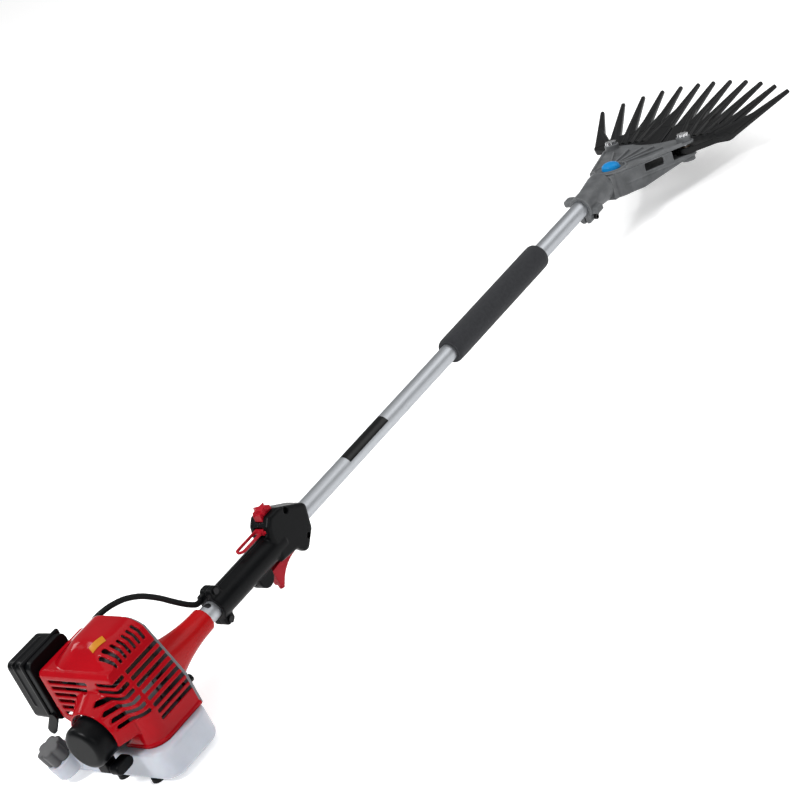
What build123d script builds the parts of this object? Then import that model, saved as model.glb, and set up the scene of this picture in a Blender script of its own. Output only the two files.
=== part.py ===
"""Coffee harvester: a small petrol engine, a pole with a throttle handle, and a gear head with two combs."""
import os
from math import cos, pi, radians, sin, tan

from build123d import *

os.makedirs("parts", exist_ok=True)

# Frame: X runs along the pole from the engine to the combs, Y to the left, Z up, millimetres.
# The origin lies on the resting plane, under the middle of the object. Stations along X are
# counted from the nose of the clutch housing, heights from the pole axis.

# Pole
pole_r = 13.0
pole_wall = 1.6
pole_length = 1096.0
pole_socket = 38.0
pole_hole_r = 3.5
pole_hole_x = 13.0
running_fit = 0.05
clearance = 0.35
overcut = 1.0
seat_gap = 0.1

# Drive shaft and its bushes
shaft_r = 4.0
bush_length = 22.0
bush_pitch = 265.0
bush_count = 4
bush_first_x = 60.0
pinion_set_back = 19.5

# Clutch housing and clutch
bell_length = 112.0
bell_nose_r = 17.5
bell_neck_length = 34.0
bell_neck_r = 19.5
bell_flange = 92.0
bell_flange_corner = 30.0
bell_end = 72.0
bell_flange_thick = 7.0
bolt_spacing = 66.0
bolt_r = 2.5
bolt_head_r = 4.2
bolt_head = 3.5
drum_r = 26.0
drum_wall = 2.0
drum_length = 17.0
drum_set_back = 20.0
drum_x = drum_set_back - bell_length
drum_room = 3.0
drum_hub_r = 9.0
bearing_r = 14.0
bearing_width = 9.0
hub_gap = 5.0
drum_hub_length = bell_length - drum_set_back - pole_socket - bearing_width - hub_gap
shoe_gap = 1.2
shoe_width = 11.0
shoe_inner_r = 13.0
shoe_pin_r = 3.0
shoe_split = 5.0
carrier_r = 11.0
carrier_thick = 4.0
carrier_gap = 1.5
plate_thick = 4.0
plate_edge = 0.8

# Engine block
case_rear_x = -bell_length - 86.0
case_front_x = -bell_length - 30.0
case_half_width = 36.0
case_top = 30.0
case_shoulder = -8.0
sump_share = 0.7
case_edge = 6.0
case_boss_r = 14.0
case_boss = 3.0
crank_r = 7.5
flywheel_r = 35.0
flywheel_thick = 6.0
fan_blade_height = 12.0
fan_blade_count = 14
fan_blade_thick = 2.5
fan_blade_inner = 17.0
flywheel_gap = 1.0
post_r = 3.5
post_upper = (33.0, 22.0)
post_lower = (26.0, -31.0)
cylinder_x = -bell_length - 48.0
cylinder_r = 21.0
cylinder_top = 72.0
fin_length = 46.0
fin_width = 58.0
fin_thick = 2.2
fin_pitch = 6.4
fin_corner = 6.0
port_width = 28.0
port_height = 30.0
rocker_height = 11.0
rocker_length = 36.0
rocker_width = 48.0
rocker_edge = 5.0
plug_y = 14.0
plug_z = 65.0
plug_r = 4.0
plug_hex_r = 7.5
plug_length = 15.0
plug_seat = 6.0
plug_hex = 6.0
plug_cap_end = 3.0
muffler_width = 17.0
muffler_length = 58.0
muffler_height = 32.0
muffler_z = 48.0
muffler_shift = 8.0
muffler_corner = 10.0
muffler_edge = 6.0
muffler_seam = 0.45
muffler_rim = 3.0

# Intake
insulator_thick = 9.0
carb_length = 34.0
carb_height = 36.0
carb_z = 50.0
carb_bore_r = 8.0
carb_corner = 5.0
carb_flange = 5.0
carb_body = 26.0
carb_bowl = 10.0
carb_bowl_r = 13.0
carb_top = 3.0
carb_top_r = 7.0
carb_top_y = 74.0
filter_rear_x = -bell_length - 95.0
filter_length = 72.0
filter_right = 91.0
filter_base_thick = 10.0
filter_cover_depth = 39.0
filter_bottom = -4.0
filter_height = 92.0
filter_wall = 2.5
filter_corner = 10.0
filter_draft = 2.0
filter_pad = 26.0
filter_margin = 7.5
primer_r = 9.0
primer_y = 56.0
primer_z = 46.0
primer_height = 9.0
choke_length = 26.0
choke_width = 13.0
choke_thick = 3.5
choke_y = 96.0
choke_z = 5.0
choke_angle = 51.0
choke_pin_r = 2.5
choke_pin = 6.0
primer_stroke_gap = 4.5

# Engine cover
cover_wall = 2.5
cover_rear_x = -bell_length - 93.0
cover_right = 69.0
cover_left = 88.0
tier_top = 77.0
tier_corner = 26.0
tier_edge = 9.0
dome_top = 100.0
dome_foot_rear_x = -bell_length - 89.0
dome_foot_right = 66.0
dome_foot_left = 82.0
dome_crown_rear_x = -bell_length - 64.0
dome_crown_right = 24.0
dome_crown_left = 40.0
dome_corner = 31.0
dome_edge = 44.0
dome_sink = 6.0
bevel_foot_z = 8.0
bevel_lean = 18.8
tier_left_corner = 8.0
carb_window_x = -bell_length - 66.0
carb_window_y = 68.0
carb_window_top = 68.0
first_slot_z = 62.0
band_top_y = -12.0
band_lean = 0.26
slot_left_y = 72.0
slot_wrap_x = -bell_length - 72.0
side_slot_rear_x = -bell_length - 66.0
side_slot_inner = 40.0
fan_slot_front_x = -bell_length - 12.0
fan_slot_low = 74.0
fan_slot_high = 94.0
arch_r = 34.5
hood_foot_r = 52.0
hood_mouth_r = 38.0
hood_depth = 27.0
hood_low = -12.0
arch_edge_y = -10.0
left_edge_bottom = 8.0
left_edge_rise = 14.0
slot_height = 5.0
slot_pitch = 10.2
rear_slot_count = 6
side_slot_count = 8
side_slot_length = 62.0
fan_slot_count = 7
fan_slot_pitch = 9.4
fan_slot_width = 4.2
rear_band = 13.0

# Tank
tank_rear_x = -bell_length - 103.0
tank_front_x = -bell_length - 1.0
tank_right = 83.0
tank_left = 132.0
tank_top = -38.0
tank_step = 12.0
tank_step_y = 46.0
tank_top_edge = 5.0
tank_bottom = -82.0
tank_corner = 26.0
tank_edge = 8.0
foot_height = 6.0
foot_r = 8.5
foot_inset_x = 9.5
foot_right = 36.0
foot_left = 26.0
cap_r = 19.5
cap_height = 22.0
cap_x = -bell_length - 110.0
cap_y = 111.0
neck_r = 15.0
cap_tilt = 14.0
neck_bulge_r = 21.0
neck_bulge_depth = 24.0
neck_height = 6.0
cap_lobes = 6
cap_lobe_r = 8.0
cap_edge = 2.5
hose_r = 4.5
oil_cap_r = 5.5
oil_cap_y = -56.0
oil_cap_z = -8.0
oil_cap_length = 10.0
oil_spigot_r = 4.2
oil_cap_sides = 8

# Recoil starter
starter_r = 31.0
starter_rear_x = -bell_length - 146.0
starter_edge = 9.0
starter_flange_r = 33.5
starter_flange = 7.0
grip_bar = 31.0
grip_bar_r = 8.0
grip_x = -bell_length - 124.0
grip_z = -38.0
grip_y = -27.0
grip_stem_r = 5.0
grip_edge = 2.5
outlet_half = 9.0
outlet_drop = 24.0
crank_pocket_r = 9.0
crank_end = 5.0

# Throttle handle
handle_rear_x = 21.0
handle_front_x = 229.0
handle_grip_r = 20.0
handle_half_width = 19.0
handle_top = 45.0
handle_bottom = -41.0
handle_nose_x = 150.0
ear_height = 29.0
ear_length = 18.0
ear_half_width = 11.0
handle_edge = 6.0
handle_corner = 9.0
nose_back = 4.0
nose_rake = 10.0
front_bevel = 48.0
front_drop = 18.0
guard_x = 116.0
guard_z = -23.0
guard_r = 14.0
guard_cheek = 3.0
trigger_half_width = 6.0
trigger_pocket = 7.0
trigger_pin_r = 2.5
trigger_pin_x = 190.0
trigger_pin_z = -25.0
trigger_hub_r = 5.0
trigger_reach = 58.0
trigger_drop = 29.0
trigger_heel = 4.0
trigger_bow_x = 35.0
trigger_bow_z = 13.5
trigger_rear_x = 129.0
trigger_front = 8.0
pocket_top = -14.5
pin_half = 12.0
lock_pin_x = 150.0
lock_pin_z = 27.0
lock_length = 50.0
lock_half_width = 8.0
lock_bar = 3.2
lock_rise = 1.0
lock_hub_r = 4.5
lock_front = 7.0
lock_flat = 0.5
switch_length = 24.0
switch_width = 14.0
switch_x = 168.0
switch_height = 6.0
switch_depth = 6.0
switch_travel = 5.0
switch_edge = 2.0
screw_r = 2.5
screw_head_r = 4.5
screw_head = 3.0
screw_seat = 10.0
screw_places = ((30.0, 23.5), (30.0, -23.5), (190.0, 33.0), (206.0, -21.0))

# Throttle cable
cable_r = 4.0
cable_y = 14.0
cable_z = 14.0
cable_boss_r = 7.0
cable_boss = 18.0
arc_share = 0.45

# Foam grip
foam_x = 612.0
foam_length = 256.0
foam_r = 20.5
foam_edge = 4.0

# Head neck
neck_overlap = 58.0
neck_clamp_r = 19.0
neck_ear_half = 11.0
neck_ear_height = 8.0
neck_slit = 3.0
neck_clamp_length = 26.0
neck_case_r = 23.0
neck_shaft_room = 5.0
neck_screw_z = -22.5
head_gap = 42.0
head_pitch = 11.75
parting = 34.0

# Head housing, in head coordinates: x forward along the head, z up from its middle plane
pivot_x = 111.0
pivot_y = 70.0
pivot_boss_r = 15.0
case_r = 33.0
head_wall = 3.5
head_floor = -8.1
head_floor_thick = 5.0
gear_pit_floor = -27.0
belly_start = 20.0
belly_rise = 11.6
belly_margin = 1.5
head_roof = 7.6
head_roof_thick = 3.2
pivot_boss_top = 19.0
pivot_boss_bottom = -21.0
rib_thick = 2.6
rib_height = 3.2
window_length = 26.0
window_x = 46.0
window_sill = 3.0
window_height = 8.0
front_arc_x = 79.0
front_arc_r = 75.0
rib_count = 2
rib_spread = 15.0
rib_start = 22.0
rib_length = 74.0
arm_open_x = 74.0
blue_cap_r = 15.0
blue_cap_height = 5.0
blue_cap_edge = 4.0
cap_back = 2.0
cap_right = 4.0

# Gears, crank and rods
gear_r = 28.0
gear_drop = 2.6
gear_stub_r = 6.0
gear_stub = 5.0
tooth_face = 6.5
gear_pitch_r = 24.0
gear_teeth = 36
pinion_teeth = 9
pinion_pitch_r = 6.0
pinion_length = 16.0
pinion_bearing_width = 6.0
tooth_share = 0.34
tooth_depth = 1.2
gear_thick = 7.0
crank_throw = 8.0
crank_pin_r = 4.5
rod_ring_r = 21.0
rod_step = 0.45
rod_ring_wall = 4.5
rod_thick = 1.9
rod_lift = 2.9
rod_arm = 30.0
rod_pin_r = 4.0
rod_eye_wall = 3.5
rod_eye_play = 1.4

# Combs
comb_thick = 10.0
comb_top = 2.4
comb_boss_r = 16.0
comb_bush_r = 7.5
pivot_screw_r = 5.0
pivot_head_r = 9.5
pivot_head_height = 4.5
pivot_star_points = 8
star_point_r = 2.0
finger_count = 6
finger_length = 125.0
finger_root_width = 20.0
finger_root_depth = 11.0
finger_tip_r = 3.5
tip_round = 0.8
finger_fan = 27.5
finger_rise = 17.0
finger_plane_x = 150.0
root_inner = (41.0, 15.0)
root_outer = (3.0, 126.0)
palm_thick = 10.0
palm_inner = 21.0
palm_outer = 100.0

# Places worked out from the sizes above
pole_front = pole_length - pole_socket
neck_x = pole_front - neck_overlap
head_x = pole_front + head_gap
tip_along = root_inner[0] + finger_length
tip_x = finger_plane_x + cos(radians(finger_rise)) * tip_along
tip_z = sin(radians(finger_rise)) * tip_along
front_reach = head_x + cos(radians(head_pitch)) * tip_x + sin(radians(head_pitch)) * tip_z + finger_tip_r
x_nose = -(front_reach + starter_rear_x) / 2
plate_x = -bell_length - plate_thick
hood_rear_x = cover_rear_x - hood_depth
axis_height = foot_height - tank_bottom


def station(x):
    """Plane across the pole at a station: local x is Y, local y is height, normal along +X."""
    return Plane(origin=(x_nose + x, 0, axis_height), x_dir=(0, 1, 0), z_dir=(1, 0, 0))


def level(z):
    """Level plane at a height over the pole axis: local x is the station, local y is Y."""
    return Plane(origin=(x_nose, 0, axis_height + z), x_dir=(1, 0, 0), z_dir=(0, 0, 1))


def side(y):
    """Upright plane along the pole: local x is the station, local y is height, normal towards -Y."""
    return Plane(origin=(x_nose, y, axis_height), x_dir=(1, 0, 0), z_dir=(0, -1, 0))


def head(z):
    """Plane of the head at a height in head coordinates, pitched down from the pole."""
    pitch = radians(head_pitch)
    tilted = Plane(origin=(x_nose + head_x, 0, axis_height), x_dir=(cos(pitch), 0, -sin(pitch)),
                   z_dir=(sin(pitch), 0, cos(pitch)))
    return tilted.offset(z)


pole_axis = Axis((x_nose, 0, axis_height), (1, 0, 0))


def keep(piece, name):
    """Label a finished piece and write it."""
    piece.label = name
    export_step(piece, f"parts/{name}.step")


def turned(*profile):
    """A piece turned about the pole axis from station and radius pairs."""
    with BuildPart() as piece:
        with BuildSketch(side(0)):
            with BuildLine():
                Polyline(*profile, close=True)
            make_face()
        revolve(axis=pole_axis)
    return piece.part


# Pole tube with its locating hole behind the handle
with BuildPart() as pole_tube:
    with BuildSketch(station(-pole_socket)):
        Circle(pole_r)
        Circle(pole_r - pole_wall, mode=Mode.SUBTRACT)
    extrude(amount=pole_length)
    with BuildSketch(level(0)):
        with Locations((pole_hole_x, 0)):
            Circle(pole_hole_r)
    extrude(amount=pole_r * 2, mode=Mode.SUBTRACT)
keep(pole_tube.part, "pole_tube")

# Clutch housing: a red casting that flares from the pole socket to a square flange
with BuildPart() as clutch_housing:
    with BuildSketch(station(0)):
        Circle(bell_nose_r)
    with BuildSketch(station(-bell_neck_length)):
        Circle(bell_neck_r)
    with BuildSketch(station(bell_flange_thick - bell_length)):
        RectangleRounded(bell_end, bell_end, bell_flange_corner)
    loft()
    with BuildSketch(station(-bell_length)):
        RectangleRounded(bell_flange, bell_flange, bell_flange_corner)
    extrude(amount=bell_flange_thick)
    with BuildSketch(side(0)):
        with BuildLine():
            Polyline((overcut, 0), (overcut, pole_r), (-pole_socket, pole_r), (-pole_socket, bearing_r),
                     (-pole_socket - bearing_width, bearing_r),
                     (-pole_socket - bearing_width, drum_hub_r + overcut),
                     (drum_x + drum_room, drum_r + drum_room), (-bell_length, drum_r + drum_room),
                     (-bell_length, 0), close=True)
        make_face()
    revolve(axis=pole_axis, mode=Mode.SUBTRACT)
    with BuildSketch(station(-bell_length)):
        with GridLocations(bolt_spacing, bolt_spacing, 2, 2):
            Circle(bolt_r + seat_gap)
    extrude(amount=bell_flange_thick, mode=Mode.SUBTRACT)
keep(clutch_housing.part, "clutch_housing")

# Bearing behind the pole socket, and the clutch drum that it carries
bearing_back = -pole_socket - bearing_width
drum_bearing = turned((bearing_back, shaft_r + running_fit), (-pole_socket, shaft_r + running_fit),
                      (-pole_socket, bearing_r), (bearing_back, bearing_r))
keep(drum_bearing, "drum_bearing")
drum_back = drum_x - drum_wall
clutch_drum = turned((drum_x + drum_hub_length, shaft_r), (drum_x + drum_hub_length, drum_hub_r),
                     (drum_x, drum_hub_r), (drum_x, drum_r), (drum_x - drum_length, drum_r),
                     (drum_x - drum_length, drum_r - drum_wall), (drum_back, drum_r - drum_wall),
                     (drum_back, shaft_r))
keep(clutch_drum, "clutch_drum")

# Drive shaft from the drum to the pinion, and the bushes that hold it in the pole
pinion_front = head_x - pinion_set_back
with BuildPart() as drive_shaft:
    with BuildSketch(station(drum_back)):
        Circle(shaft_r)
    extrude(amount=pinion_front - pinion_length - drum_back)
keep(drive_shaft.part, "drive_shaft")
with BuildPart() as shaft_bushes:
    for turn in range(bush_count):
        with BuildSketch(station(bush_first_x + turn * bush_pitch)):
            Circle(pole_r - pole_wall)
            Circle(shaft_r + running_fit, mode=Mode.SUBTRACT)
        extrude(amount=bush_length)
keep(shaft_bushes.part, "shaft_bushes")

# Crankcase: the block that carries the crank between the fan and the starter
with BuildPart() as crankcase:
    with BuildSketch(station(case_rear_x)):
        with BuildLine():
            Polyline((-case_half_width, case_top), (case_half_width, case_top),
                     (case_half_width, case_shoulder), (case_half_width * sump_share, tank_top),
                     (-case_half_width * sump_share, tank_top),
                     (-case_half_width, case_shoulder), close=True)
        make_face()
    extrude(amount=case_front_x - case_rear_x)
    fillet(crankcase.edges().filter_by(Axis.X), case_edge)
    with BuildSketch(station(case_rear_x)):
        Circle(crank_r + running_fit)
    extrude(amount=case_front_x - case_rear_x, mode=Mode.SUBTRACT)
    with BuildSketch(station(case_front_x)):
        Circle(case_boss_r)
        Circle(crank_r + running_fit, mode=Mode.SUBTRACT)
    extrude(amount=case_boss)
keep(crankcase.part, "crankcase")

# Cylinder with cooling fins, and the rocker cover on top of it
fin_count = int((cylinder_top - case_top) // fin_pitch)
with BuildPart() as cylinder:
    with BuildSketch(level(case_top)):
        with Locations((cylinder_x, 0)):
            Circle(cylinder_r)
    extrude(amount=cylinder_top - case_top)
    for turn in range(fin_count):
        with BuildSketch(level(cylinder_top - fin_thick - turn * fin_pitch)):
            with Locations((cylinder_x, 0)):
                RectangleRounded(fin_length, fin_width, fin_corner)
        extrude(amount=fin_thick)
    with BuildSketch(level(case_top)):
        with Locations((cylinder_x, -fin_width / 4), (cylinder_x, fin_width / 4)):
            Rectangle(port_width, fin_width / 2)
    extrude(amount=port_height)
    with BuildSketch(station(cylinder_x + fin_length / 2)):
        with Locations((plug_y, plug_z)):
            Circle(plug_r)
    extrude(amount=-plug_seat, mode=Mode.SUBTRACT)
keep(cylinder.part, "cylinder")
with BuildPart() as rocker_cover:
    with BuildSketch(level(cylinder_top)):
        with Locations((cylinder_x, 0)):
            RectangleRounded(rocker_length, rocker_width, fin_corner)
    extrude(amount=rocker_height)
    fillet(rocker_cover.faces().sort_by(Axis.Z)[-1].edges(), rocker_edge)
keep(rocker_cover.part, "rocker_cover")

# Spark plug on the front of the head, with its rubber cap
plug_x = cylinder_x + fin_length / 2
plug_plane = station(plug_x - plug_seat)
with BuildPart() as spark_plug:
    with BuildSketch(plug_plane):
        with Locations((plug_y, plug_z)):
            Circle(plug_r)
    extrude(amount=plug_seat + plug_length)
    with BuildSketch(station(plug_x)):
        with Locations((plug_y, plug_z)):
            RegularPolygon(plug_hex_r, 6)
    extrude(amount=plug_hex)
keep(spark_plug.part, "spark_plug")
with BuildPart() as plug_cap:
    with BuildSketch(station(plug_x + plug_hex + seat_gap)):
        with Locations((plug_y, plug_z)):
            Circle(plug_hex_r)
    extrude(amount=plug_length - plug_hex + plug_cap_end)
    fillet(plug_cap.edges().sort_by(Axis.X)[-1], plug_cap_end)
    with BuildSketch(station(plug_x + plug_hex + seat_gap)):
        with Locations((plug_y, plug_z)):
            Circle(plug_r + seat_gap)
    extrude(amount=plug_length - plug_hex, mode=Mode.SUBTRACT)
keep(plug_cap.part, "plug_cap")

# Muffler on the right of the cylinder
with BuildPart() as muffler:
    with BuildSketch(side(-fin_width / 2)):
        with Locations((cylinder_x + muffler_shift, muffler_z)):
            RectangleRounded(muffler_length, muffler_height, muffler_corner)
    extrude(amount=muffler_width)
    fillet(muffler.faces().sort_by(Axis.Y)[0].edges(), muffler_edge)
    with BuildSketch(side(-fin_width / 2 - muffler_width * muffler_seam)):
        with Locations((cylinder_x + muffler_shift, muffler_z)):
            RectangleRounded(muffler_length + muffler_rim, muffler_height + muffler_rim, muffler_corner)
    extrude(amount=muffler_rim)
keep(muffler.part, "muffler")

# Intake: heat insulator, carburettor, and the air cleaner on the left
intake_y = fin_width / 2
with BuildPart() as intake_insulator:
    with BuildSketch(side(intake_y)):
        with Locations((cylinder_x, carb_z)):
            RectangleRounded(carb_length, carb_height, carb_corner)
            Circle(carb_bore_r, mode=Mode.SUBTRACT)
    extrude(amount=-insulator_thick)
keep(intake_insulator.part, "intake_insulator")
carb_right = intake_y + insulator_thick
carb_left = filter_right
carb_middle_y = (carb_right + carb_left) / 2
carb_front_x = cylinder_x + carb_body / 2
primer_stem_r = primer_r / 3
with BuildPart() as carburettor:
    with BuildSketch(side(carb_right)):
        with Locations((cylinder_x, carb_z)):
            RectangleRounded(carb_length, carb_height, carb_corner)
    extrude(amount=-carb_flange)
    with BuildSketch(side(carb_left)):
        with Locations((cylinder_x, carb_z)):
            RectangleRounded(carb_length, carb_height, carb_corner)
    extrude(amount=carb_flange)
    with BuildSketch(side(carb_right)):
        with Locations((cylinder_x, carb_z)):
            RectangleRounded(carb_body, carb_body, carb_corner)
    extrude(amount=carb_right - carb_left)
    with BuildSketch(level(carb_z - carb_height / 2 - carb_bowl)):
        with Locations((cylinder_x, carb_middle_y)):
            Circle(carb_bowl_r)
    extrude(amount=carb_bowl + carb_height / 4)
    with BuildSketch(level(carb_z)):
        with Locations((cylinder_x, carb_top_y)):
            Circle(carb_top_r)
    extrude(amount=carb_body / 2 + carb_top)
    with BuildSketch(side(carb_right)):
        with Locations((cylinder_x, carb_z)):
            Circle(carb_bore_r)
    extrude(amount=carb_right - carb_left, mode=Mode.SUBTRACT)
    with BuildSketch(station(carb_front_x)):
        with Locations((primer_y, primer_z)):
            Circle(primer_stem_r + running_fit)
    extrude(amount=clearance - primer_stroke_gap, mode=Mode.SUBTRACT)
keep(carburettor.part, "carburettor")
filter_middle = (filter_rear_x + filter_length / 2, filter_bottom + filter_height / 2)
with BuildPart() as air_cleaner_base:
    with BuildSketch(side(filter_right)):
        with Locations(filter_middle):
            RectangleRounded(filter_length, filter_height, filter_corner)
        with Locations((cylinder_x, carb_z)):
            Circle(carb_bore_r, mode=Mode.SUBTRACT)
    extrude(amount=-filter_base_thick)
    with BuildSketch(station(filter_rear_x)):
        with Locations((choke_y, choke_z)):
            Circle(choke_pin_r + running_fit)
    extrude(amount=choke_pin, mode=Mode.SUBTRACT)
keep(air_cleaner_base.part, "air_cleaner_base")
filter_seat = filter_right + filter_base_thick
with BuildPart() as air_cleaner_cover:
    with BuildSketch(side(filter_seat)):
        with Locations(filter_middle):
            RectangleRounded(filter_length, filter_height, filter_corner)
    extrude(amount=-filter_cover_depth, taper=filter_draft)
    fillet(air_cleaner_cover.faces().sort_by(Axis.Y)[-1].edges(), filter_corner / 2)
    with BuildSketch(side(filter_seat)):
        with Locations(filter_middle):
            RectangleRounded(filter_length - 2 * filter_wall, filter_height - 2 * filter_wall,
                             filter_corner - filter_wall)
    extrude(amount=filter_wall - filter_cover_depth, taper=filter_draft, mode=Mode.SUBTRACT)
keep(air_cleaner_cover.part, "air_cleaner_cover")
with BuildPart() as air_filter:
    with BuildSketch(side(filter_seat)):
        with Locations(filter_middle):
            RectangleRounded(filter_length - 2 * filter_margin, filter_height - 2 * filter_margin,
                             filter_corner - filter_wall)
    extrude(amount=-filter_pad)
keep(air_filter.part, "air_filter")

# Primer bulb on the front of the carburettor and choke lever behind the air cleaner base
with BuildPart() as primer_bulb:
    with BuildSketch(station(carb_front_x + primer_stroke_gap)):
        with Locations((primer_y, primer_z)):
            Circle(primer_r)
    extrude(amount=primer_height)
    fillet(primer_bulb.edges().sort_by(Axis.X)[-1], primer_r / 2)
    with BuildSketch(station(carb_front_x + clearance)):
        with Locations((primer_y, primer_z)):
            Circle(primer_stem_r)
    extrude(amount=primer_stroke_gap)
keep(primer_bulb.part, "primer_bulb")
with BuildPart() as choke_lever:
    with BuildSketch(station(filter_rear_x - clearance)):
        with Locations(Location((choke_y, choke_z, 0), (0, 0, -choke_angle))):
            with Locations((choke_length / 2, 0)):
                SlotCenterToCenter(choke_length, choke_width)
    extrude(amount=-choke_thick)
    with BuildSketch(station(filter_rear_x - clearance)):
        with Locations((choke_y, choke_z)):
            Circle(choke_pin_r)
    extrude(amount=choke_pin)
keep(choke_lever.part, "choke_lever")


def cover_body(inset, front):
    """Closed body of the engine cover back from its front, drawn in by the inset to give its inside."""
    rear = cover_rear_x + inset
    right = inset - cover_right
    left = cover_left - inset
    floor = tank_top - inset
    with BuildPart() as body:
        with BuildSketch(level(floor)) as plan:
            with BuildLine():
                Polyline((front, right), (rear, right), (rear, left), (front, left), close=True)
            make_face()
            behind = plan.vertices().group_by(Axis.X)[0].sort_by(Axis.Y)
            fillet(behind[0], tier_corner - inset)
            fillet(plan.vertices().group_by(Axis.X)[0].sort_by(Axis.Y)[-1], tier_left_corner - inset)
        extrude(amount=tier_top - inset - floor)
        rim = body.faces().sort_by(Axis.Z)[-1].edges().sort_by(Axis.X)[:-1]
        fillet(rim, tier_edge - inset)
        foot = (dome_foot_rear_x, dome_foot_right, dome_foot_left, tier_top - dome_sink)
        crown = (dome_crown_rear_x, dome_crown_right, dome_crown_left, dome_top - inset)
        for back, half_right, half_left, height in (foot, crown):
            with BuildSketch(level(height)) as tier:
                with BuildLine():
                    Polyline((front, inset - half_right), (back + inset, inset - half_right),
                             (back + inset, half_left - inset), (front, half_left - inset), close=True)
                make_face()
                fillet(tier.vertices().group_by(Axis.X)[0], dome_corner - inset)
        loft(ruled=True)
        rim = body.faces().sort_by(Axis.Z)[-1].edges().sort_by(Axis.X)[:-1]
        fillet(rim, dome_edge - inset)
        lean = radians(bevel_lean)
        bevel = Plane(origin=(x_nose, -cover_right, axis_height + bevel_foot_z), x_dir=(1, 0, 0),
                      z_dir=(0, -cos(lean), sin(lean)))
        split(bisect_by=bevel.offset(-inset), keep=Keep.BOTTOM)
    return body.part


def block(x, y, z, mode=Mode.ADD):
    """A straight block between pairs of stations, sides and heights."""
    with Locations((x_nose + (x[0] + x[1]) / 2, (y[0] + y[1]) / 2, axis_height + (z[0] + z[1]) / 2)):
        Box(x[1] - x[0], y[1] - y[0], z[1] - z[0], mode=mode)


def hood(inset):
    """Closed body of the hood that reaches back round the starter, drawn in by the inset."""
    with BuildPart() as body:
        add(turned((cover_rear_x + inset, 0), (cover_rear_x + inset, hood_foot_r - inset),
                   (hood_rear_x, hood_mouth_r - inset), (hood_rear_x, 0)))
        split(bisect_by=level(hood_low + inset), keep=Keep.TOP)
    return body.part


# Louvres of the engine cover: two columns at the back, long ones on the right, a fan on the dome
with BuildPart() as louvres:
    for turn in range(rear_slot_count):
        height = first_slot_z - turn * slot_pitch
        band_y = band_top_y + band_lean * (first_slot_z - height)
        arch = (max(arch_r + rear_band / 2, abs(height)) ** 2 - height ** 2) ** 0.5
        foot = (max(hood_foot_r, abs(height)) ** 2 - height ** 2) ** 0.5
        reach = (height - slot_height / 2, height + slot_height / 2)
        back = (hood_rear_x - overcut, slot_wrap_x)
        block(back, (max(band_y + rear_band / 2, foot), slot_left_y), reach)
        block(back, (-cover_right - cover_wall, min(band_y - rear_band / 2, -arch)), reach)
    for turn in range(side_slot_count):
        height = first_slot_z - turn * slot_pitch
        block((side_slot_rear_x, side_slot_rear_x + side_slot_length),
              (-cover_right - cover_wall, -side_slot_inner),
              (height - slot_height / 2, height + slot_height / 2))
    for turn in range(fan_slot_count):
        front = fan_slot_front_x - turn * fan_slot_pitch
        block((front - fan_slot_width, front), (-cover_right, cover_wall - dome_crown_right),
              (fan_slot_low, fan_slot_high))

# Engine cover: thin moulded shell over the engine, open below and in front, with a hood round the starter
with BuildPart() as engine_cover:
    add(cover_body(0, plate_x))
    add(hood(0))
    add(cover_body(cover_wall, plate_x + overcut), mode=Mode.SUBTRACT)
    add(hood(cover_wall), mode=Mode.SUBTRACT)
    add(louvres.part, mode=Mode.SUBTRACT)
    block((carb_window_x, plate_x + overcut), (carb_window_y, cover_left + overcut),
          (tank_top - overcut, carb_window_top), Mode.SUBTRACT)
    with BuildSketch(station(hood_rear_x - overcut)):
        Circle(arch_r)
        with BuildLine():
            Polyline((arch_edge_y, 0), (arch_r, 0), (slot_left_y, left_edge_bottom - left_edge_rise),
                     (cover_left + overcut, left_edge_bottom), (cover_left + overcut, tank_top - overcut),
                     (arch_edge_y, tank_top - overcut), close=True)
        make_face()
    extrude(amount=carb_window_x - hood_rear_x, mode=Mode.SUBTRACT)
    block((carb_window_x - cover_wall, plate_x + overcut), (arch_r, cover_left + overcut),
          (tank_top - overcut, left_edge_bottom), Mode.SUBTRACT)
keep(engine_cover.part, "engine_cover")

# Front plate between the cover and the clutch housing, with posts back to the crankcase
plate_left = carb_window_y - plate_edge
with BuildPart() as front_plate:
    add(cover_body(plate_edge, -bell_length))
    block((plate_x, -bell_length), (-cover_right, plate_left), (tank_top, dome_top), Mode.INTERSECT)
    with BuildSketch(station(plate_x)):
        with BuildLine():
            Polyline((case_half_width, tank_top), (plate_left, tank_top), (plate_left, left_edge_bottom),
                     close=True)
        make_face()
        Circle(drum_r + drum_room)
        with GridLocations(bolt_spacing, bolt_spacing, 2, 2):
            Circle(bolt_r + seat_gap)
        with Locations((oil_cap_y, oil_cap_z)):
            Circle(oil_spigot_r + running_fit)
    extrude(amount=plate_thick, mode=Mode.SUBTRACT)
    with BuildSketch(station(plate_x)):
        with Locations(post_upper, (-post_upper[0], post_upper[1]), post_lower,
                       (-post_lower[0], post_lower[1])):
            Circle(post_r)
    extrude(amount=case_front_x - plate_x)
keep(front_plate.part, "front_plate")

# Bolts through the clutch housing flange
with BuildPart() as bell_bolts:
    with BuildSketch(station(plate_x)):
        with GridLocations(bolt_spacing, bolt_spacing, 2, 2):
            Circle(bolt_r)
    extrude(amount=plate_thick + bell_flange_thick)
    with BuildSketch(station(bell_flange_thick - bell_length)):
        with GridLocations(bolt_spacing, bolt_spacing, 2, 2):
            RegularPolygon(bolt_head_r, 6)
    extrude(amount=bolt_head)
keep(bell_bolts.part, "bell_bolts")

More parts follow.
